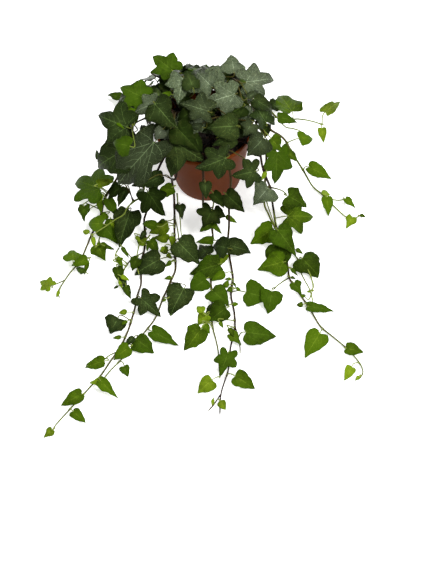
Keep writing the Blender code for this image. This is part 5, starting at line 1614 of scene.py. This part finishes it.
def build_pot(looks):
    """The pot: a rolled lip over a thin tapered wall, a rounded foot and drain holes round its middle."""
    lip_low = POT_HEIGHT - LIP_DEPTH
    half = LIP_WALL / 2
    inside_foot = outer_radius(FLOOR_THICKNESS + FLOOR_ROUND) - WALL
    profile = [(0, FLOOR_THICKNESS)]
    profile += arc((inside_foot - FLOOR_ROUND, FLOOR_THICKNESS + FLOOR_ROUND), FLOOR_ROUND, -90, 0, 6)
    profile += [(outer_radius(lip_low * share) - WALL, lip_low * share) for share in (0.25, 0.5, 0.75, 1.0)]
    profile += arc((RIM_RADIUS - half, POT_HEIGHT - half), half, 180, 0, 14)
    profile += [(RIM_RADIUS, lip_low + LIP_FLAT)]
    profile += arc((RIM_RADIUS - LIP_EDGE, lip_low + LIP_EDGE), LIP_EDGE, 0, -90, 4)
    profile += [(outer_radius(lip_low) + LIP_STEP[0], lip_low - LIP_STEP[1])]
    profile += [(outer_radius(lip_low * share), lip_low * share) for share in (0.97, 0.75, 0.5, 0.25, 0.05)]
    profile += arc((BASE_RADIUS - FOOT_ROUND, FOOT_ROUND), FOOT_ROUND, -10, -90, 6)
    profile += [(0, 0)]
    pot = turned_body("pot_shell", profile, POT_STEPS)
    drills = bpy.data.collections.new("drain drills")
    bpy.context.scene.collection.children.link(drills)
    for i in range(DRAIN_HOLES):
        turn = math.tau * i / DRAIN_HOLES
        bm = bmesh.new()
        place = Matrix.Translation((DRAIN_CIRCLE * math.cos(turn), DRAIN_CIRCLE * math.sin(turn), 0))
        bmesh.ops.create_cone(bm, cap_ends=True, segments=DRILL_SIDES, radius1=DRAIN_RADIUS,
                              radius2=DRAIN_RADIUS, depth=DRILL_LENGTH, matrix=place)
        drills.objects.link(bpy.data.objects.new("drill", mesh_from(bm, "drill")))
    cut = pot.modifiers.new("Drains", "BOOLEAN")
    cut.operation = "DIFFERENCE"
    cut.operand_type = "COLLECTION"
    cut.collection = drills
    graph = bpy.context.evaluated_depsgraph_get()
    mesh = bpy.data.meshes.new_from_object(pot.evaluated_get(graph))
    pot.modifiers.clear()
    pot.data = mesh
    for drill in list(drills.objects):
        bpy.data.objects.remove(drill)
    bpy.data.collections.remove(drills)
    finished(mesh, looks, POT_CREASE)
    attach(pot, "root")
    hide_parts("pot")


def soil_top(x, y):
    """The uneven top of the soil, with its finer lumps."""
    slow = math.sin(x * SOIL_WAVES[0] + 1.3) * math.cos(y * SOIL_WAVES[1])
    finer = math.sin(x * SOIL_FINER_WAVES[0] + y * SOIL_FINER_WAVES[1])
    lumps = noise.fractal(Vector((x, y, 0.3)) * SOIL_LUMPS, 0.8, 2.1, 4)
    return SOIL_TOP + SOIL_BUMP * (0.5 * (slow + 0.6 * finer) + lumps)


def build_soil(looks):
    """The soil: a body that fills the pot, with a lumpy top."""
    gap = WALL + SOIL_GAP
    low = FLOOR_THICKNESS + SOIL_LIFT
    knee = FLOOR_THICKNESS + SOIL_ROUND
    top = outer_radius(SOIL_TOP) - gap
    profile = [(top * i / SOIL_RINGS, SOIL_TOP) for i in range(SOIL_RINGS + 1)]
    profile += [(outer_radius(knee) - gap, knee), (outer_radius(low) - gap - SOIL_ROUND, low), (0, low)]
    soil = turned_body("soil_fill", profile, SOIL_STEPS)
    for vertex in soil.data.vertices:
        if vertex.co.z > SOIL_TOP - 0.5 * MM:
            vertex.co.z = soil_top(vertex.co.x, vertex.co.y)
    finished(soil.data, looks, SOIL_CREASE)
    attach(soil, "root")
    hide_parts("soil")


def build_crumbs(looks):
    """Loose crumbs on the soil, each sixth one a larger bit of bark."""
    dice = random.Random(CRUMB_SEED)
    bm = bmesh.new()
    reach = outer_radius(SOIL_TOP) - WALL - CRUMB_MARGIN
    for i in range(CRUMBS):
        far = reach * math.sqrt(dice.random())
        turn = dice.uniform(0, math.tau)
        size = dice.uniform(*(CRUMB_SIZES if i % 6 else BARK_BIT_SIZES)) * MM
        x, y = far * math.cos(turn), far * math.sin(turn)
        ground = Vector((x, y, soil_top(x, y)))
        stretch = Matrix.Diagonal([dice.uniform(*span) for span in CRUMB_STRETCHES] + [1])
        turned = Matrix.Rotation(dice.uniform(0, math.tau), 4, "Z")
        tilted = Matrix.Rotation(dice.uniform(-CRUMB_TILT, CRUMB_TILT), 4, "X")
        place = Matrix.Translation(ground + SKYWARD * (size * CRUMB_LIFT)) @ turned @ tilted @ stretch
        made = bmesh.ops.create_icosphere(bm, subdivisions=2, radius=size, matrix=place)
        for vertex in made["verts"]:
            vertex.co += (vertex.co - ground) * (noise.noise(vertex.co * CRUMB_KNOB_WAVES) * CRUMB_KNOBS)
    crumbs = new_object("soil_crumbs", mesh_from(bm, "soil_crumbs"))
    crumbs.data.materials.append(looks)
    crumbs.data.shade_smooth()
    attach(crumbs, "root")


# Materials

def linear(hex_value):
    """A linear colour from an sRGB hex value."""
    parts = [int(hex_value[i:i + 2], 16) / 255 for i in (1, 3, 5)]
    return [p / 12.92 if p <= 0.04045 else ((p + 0.055) / 1.055) ** 2.4 for p in parts] + [1]


def feed(tree, node, inputs):
    """Gives a node's inputs their values, hex colours or links."""
    for name, value in inputs.items():
        if isinstance(value, bpy.types.NodeSocket):
            tree.links.new(value, node.inputs[name])
        else:
            node.inputs[name].default_value = linear(value) if isinstance(value, str) else value


def add(tree, kind, inputs, settings=(), out=0):
    """Adds a node with its settings and links, and gives one of its outputs.

    In a Mix node of colours, input 0 is the share of the second colour, inputs 6 and 7 are the two colours,
    and output 2 is their blend.
    """
    made = tree.nodes.new("ShaderNode" + kind)
    for name, value in dict(settings).items():
        setattr(made, name, value)
    feed(tree, made, inputs)
    return made.outputs[out]


def new_material(name, inputs):
    """A material with its shader's plain values set. Gives the material, its nodes and its shader."""
    made = bpy.data.materials.new(name)
    made.use_nodes = True
    shader = made.node_tree.nodes["Principled BSDF"]
    feed(made.node_tree, shader, inputs)
    return made, made.node_tree, shader


def blade_material(name, dark, light, edge, vein, under, wax, roughness, gloss, net_seen):
    """A living ivy blade: a waxy skin, mottled between its veins, with a fine net of veinlets.

    Toward its edge it blends into the edge colour, which on most looks is darker: painted shade along the
    margin. The underside is paler and duller.
    """
    made, tree, shader = new_material(name, {"Roughness": roughness, "IOR": 1.45, "Specular IOR Level": gloss,
                                             "Specular Tint": wax})
    flat = add(tree, "UVMap", {}, {"uv_map": "leaf"})
    shade, margin, rib, below = [add(tree, "Attribute", {}, {"attribute_name": mark}, "Fac")
                                 for mark in ("shade", "rim", "vein", "under")]
    own = add(tree, "Math", {0: shade, 1: 5.0}, {"operation": "MULTIPLY"})
    shift = add(tree, "CombineXYZ", {"X": own, "Y": own, "Z": own})
    place = add(tree, "VectorMath", {0: flat, 1: shift}, {"operation": "ADD"})
    mottle = add(tree, "TexNoise", {"Vector": place, "Scale": 1 / BLADE_MOTTLE, "Detail": 4,
                                    "Roughness": 0.6})
    blotch = add(tree, "TexNoise", {"Vector": place, "Scale": 1 / BLADE_BLOTCH, "Detail": 2})
    mixed = add(tree, "Math", {0: mottle, 1: 0.8, 2: shade}, TIMES_PLUS)
    mixed = add(tree, "Math", {0: blotch, 1: 1.3, 2: mixed}, TIMES_PLUS)
    tone = add(tree, "MapRange", {"Value": mixed, "From Min": 1.0, "From Max": 1.7})
    # The edge colour laid over the margin: painted shade along the edge on most looks
    rim = add(tree, "MapRange", {"Value": margin, "From Min": 0.90, "From Max": 1.0, "To Max": 0.4})
    net = add(tree, "TexVoronoi", {"Vector": place, "Scale": 1 / VEINLET_CELL},
              {"feature": "DISTANCE_TO_EDGE"})
    veinlet = add(tree, "MapRange", {"Value": net, "From Min": 0.0, "From Max": 0.16, "To Min": net_seen,
                                     "To Max": 0.0})
    seen = add(tree, "Math", {0: veinlet, 1: rib}, {"operation": "MAXIMUM"})
    colour = dark
    for share, over in ((tone, light), (rim, edge), (seen, vein), (below, under)):
        colour = add(tree, "Mix", {0: share, 6: colour, 7: over}, BLEND, 2)
    rough = add(tree, "MapRange", {"Value": mottle, "To Min": roughness - 0.08, "To Max": roughness + 0.12})
    rough = add(tree, "Math", {0: below, 1: 0.25, 2: rough}, TIMES_PLUS)
    grain = add(tree, "Math", {0: mottle, 1: 0.6, 2: net}, TIMES_PLUS)
    strength = min(net_seen * 3, 1)
    bump = add(tree, "Bump", {"Strength": strength, "Distance": VEINLET_RELIEF, "Height": grain})
    feed(tree, shader, {"Base Color": colour, "Roughness": rough, "Normal": bump})
    return made


def stem_material():
    """Ivy stems and petioles: pale green skin that turns to purple-brown bark with age, lined lengthwise."""
    made, tree, shader = new_material("ivy stem skin and bark",
                                      {"Roughness": 0.5, "IOR": 1.45, "Specular IOR Level": 0.12})
    flat = add(tree, "UVMap", {}, {"uv_map": "leaf"})
    long = add(tree, "Mapping", {"Vector": flat, "Scale": (1 / BARK_LINE[0], 1 / BARK_LINE[1], 1)})
    lines = add(tree, "TexNoise", {"Vector": long, "Scale": 1.0, "Detail": 3})
    spots = add(tree, "TexNoise", {"Vector": flat, "Scale": 1 / BARK_SPOT, "Detail": 2})
    grown = add(tree, "Attribute", {}, {"attribute_name": "old"}, "Fac")
    old = add(tree, "Math", {0: lines, 1: 0.3, 2: grown}, TIMES_PLUS)
    old = add(tree, "Math", {0: spots, 1: 0.3, 2: old}, TIMES_PLUS)
    scaled = add(tree, "Math", {0: old, 1: OLDEST_BARK}, {"operation": "DIVIDE"})
    colour = add(tree, "ValToRGB", {"Fac": scaled})
    stops = colour.node.color_ramp.elements
    while len(stops) < len(BARK_TONES):
        stops.new(0.5)
    for stop, (age, tone) in zip(stops, BARK_TONES):
        stop.position = min(age / OLDEST_BARK, 1)
        stop.color = linear(tone)
    bump = add(tree, "Bump", {"Strength": 0.5, "Distance": BARK_RELIEF, "Height": lines})
    feed(tree, shader, {"Base Color": colour, "Normal": bump})
    return made


def pot_material():
    """Polypropylene moulded in terracotta: a matt eggshell grain, faint dust and paler rubbed spots."""
    made, tree, shader = new_material("moulded terracotta polypropylene", {
        "Roughness": 0.6, "IOR": 1.49, "Specular IOR Level": 0.06, "Specular Tint": "#e89a50"})
    place = add(tree, "TexCoord", {}, out="Object")
    cloud = add(tree, "TexNoise", {"Vector": place, "Scale": 1 / POT_CLOUD, "Detail": 4, "Roughness": 0.6})
    grain = add(tree, "TexNoise", {"Vector": place, "Scale": 1 / POT_GRAIN, "Detail": 2})
    speck = add(tree, "MapRange", {"Value": grain, "From Min": 0.52, "From Max": 0.8, "To Max": 0.35})
    height = add(tree, "SeparateXYZ", {"Vector": place}, out="Z")
    splash = add(tree, "MapRange", {"Value": height, "From Min": POT_SPLASH, "From Max": 0.0, "To Max": 0.3})
    dust = add(tree, "Math", {0: splash, 1: cloud}, {"operation": "MULTIPLY"})
    colour = "#54240a"
    for share, over in ((cloud, "#683210"), (speck, "#7c4426"), (dust, "#6a4a34")):
        colour = add(tree, "Mix", {0: share, 6: colour, 7: over}, BLEND, 2)
    rough = add(tree, "MapRange", {"Value": cloud, "To Min": 0.48, "To Max": 0.66})
    bump = add(tree, "Bump", {"Strength": 0.25, "Distance": POT_RELIEF, "Height": grain})
    feed(tree, shader, {"Base Color": colour, "Roughness": rough, "Normal": bump})
    return made


def soil_material(name, dark, light, bits):
    """Peat potting mix: moist and nearly black, with paler fibres and bits of bark."""
    made, tree, shader = new_material(name, {"Roughness": 0.92, "IOR": 1.4})
    place = add(tree, "TexCoord", {}, out="Object")
    lumps = add(tree, "TexNoise", {"Vector": place, "Scale": 1 / PEAT_LUMP, "Detail": 6, "Roughness": 0.7})
    cells = add(tree, "TexVoronoi", {"Vector": place, "Scale": 1 / PEAT_BIT}, out="Color")
    pick = add(tree, "SeparateColor", {"Color": cells})
    rare = add(tree, "MapRange", {"Value": pick, "From Min": 0.88, "From Max": 0.95, "To Max": 0.7})
    colour = dark
    for share, over in ((lumps, light), (rare, bits)):
        colour = add(tree, "Mix", {0: share, 6: colour, 7: over}, BLEND, 2)
    bump = add(tree, "Bump", {"Strength": 0.9, "Distance": PEAT_RELIEF, "Height": lumps})
    feed(tree, shader, {"Base Color": colour, "Normal": bump})
    return made


def floor_material():
    """A matt white light table: milky acrylic lit from below, so shadows on it stay soft and pale."""
    made, tree, shader = new_material("milky acrylic light table", {
        "Roughness": 0.9, "IOR": 1.4, "Emission Color": "#ffffff", "Emission Strength": 0.58})
    place = add(tree, "TexCoord", {}, out="Object")
    cloud = add(tree, "TexNoise", {"Vector": place, "Scale": 1 / ACRYLIC_CLOUD, "Detail": 3})
    colour = add(tree, "Mix", {0: cloud, 6: "#f4f4f3", 7: "#f8f8f8"}, BLEND, 2)
    feed(tree, shader, {"Base Color": colour})
    return made


# Light, floor and view

def set_stage():
    """A white light table, soft lamps over and beside it, and an even white surround."""
    bm = bmesh.new()
    bmesh.ops.create_grid(bm, x_segments=1, y_segments=1, size=TABLE_HALF)
    floor = new_object("floor", mesh_from(bm, "floor"))
    floor.data.materials.append(floor_material())
    floor.location.z = -TABLE_DROP
    world = bpy.data.worlds.new("white surround")
    world.use_nodes = True
    sky = world.node_tree.nodes["Background"]
    feed(world.node_tree, sky, {"Color": "#ffffff", "Strength": SURROUND_STRENGTH})
    bpy.context.scene.world = world
    for name, (place, target, size, watts) in LAMPS.items():
        lamp = bpy.data.lights.new(name, "AREA")
        lamp.shape = "RECTANGLE"
        lamp.size, lamp.size_y = size
        lamp.energy = watts
        softbox = new_object(name, lamp)
        softbox.location = place
        softbox.rotation_euler = (Vector(target) - Vector(place)).to_track_quat("-Z", "Y").to_euler()
    bpy.context.scene.view_settings.view_transform = "Standard"


def set_camera():
    """The camera at the photograph's viewpoint, which looks down by the pitch and leans by the roll."""
    lens = bpy.data.cameras.new("camera")
    lens.lens = LENS
    lens.sensor_width = SENSOR
    lens.clip_start = NEAREST_SEEN
    camera = new_object("camera", lens)
    turn = Matrix((RIGHT, UP, TO_EYE)).transposed().to_4x4()
    turn.translation = EYE
    camera.matrix_world = turn
    bpy.context.scene.camera = camera


def main():
    looks = [blade_material(name, *look) for name, look in BLADE_LOOKS.items()] + [stem_material()]
    for number, name in enumerate(STEMS):
        build_stem(name, number, looks)
    build_pot(pot_material())
    build_soil(soil_material("moist peat potting mix", "#0c0908", "#241a15", "#4a3524"))
    build_crumbs(soil_material("peat crumbs and bark", "#120d0a", "#33261e", "#5a4330"))
    set_stage()
    set_camera()


main()
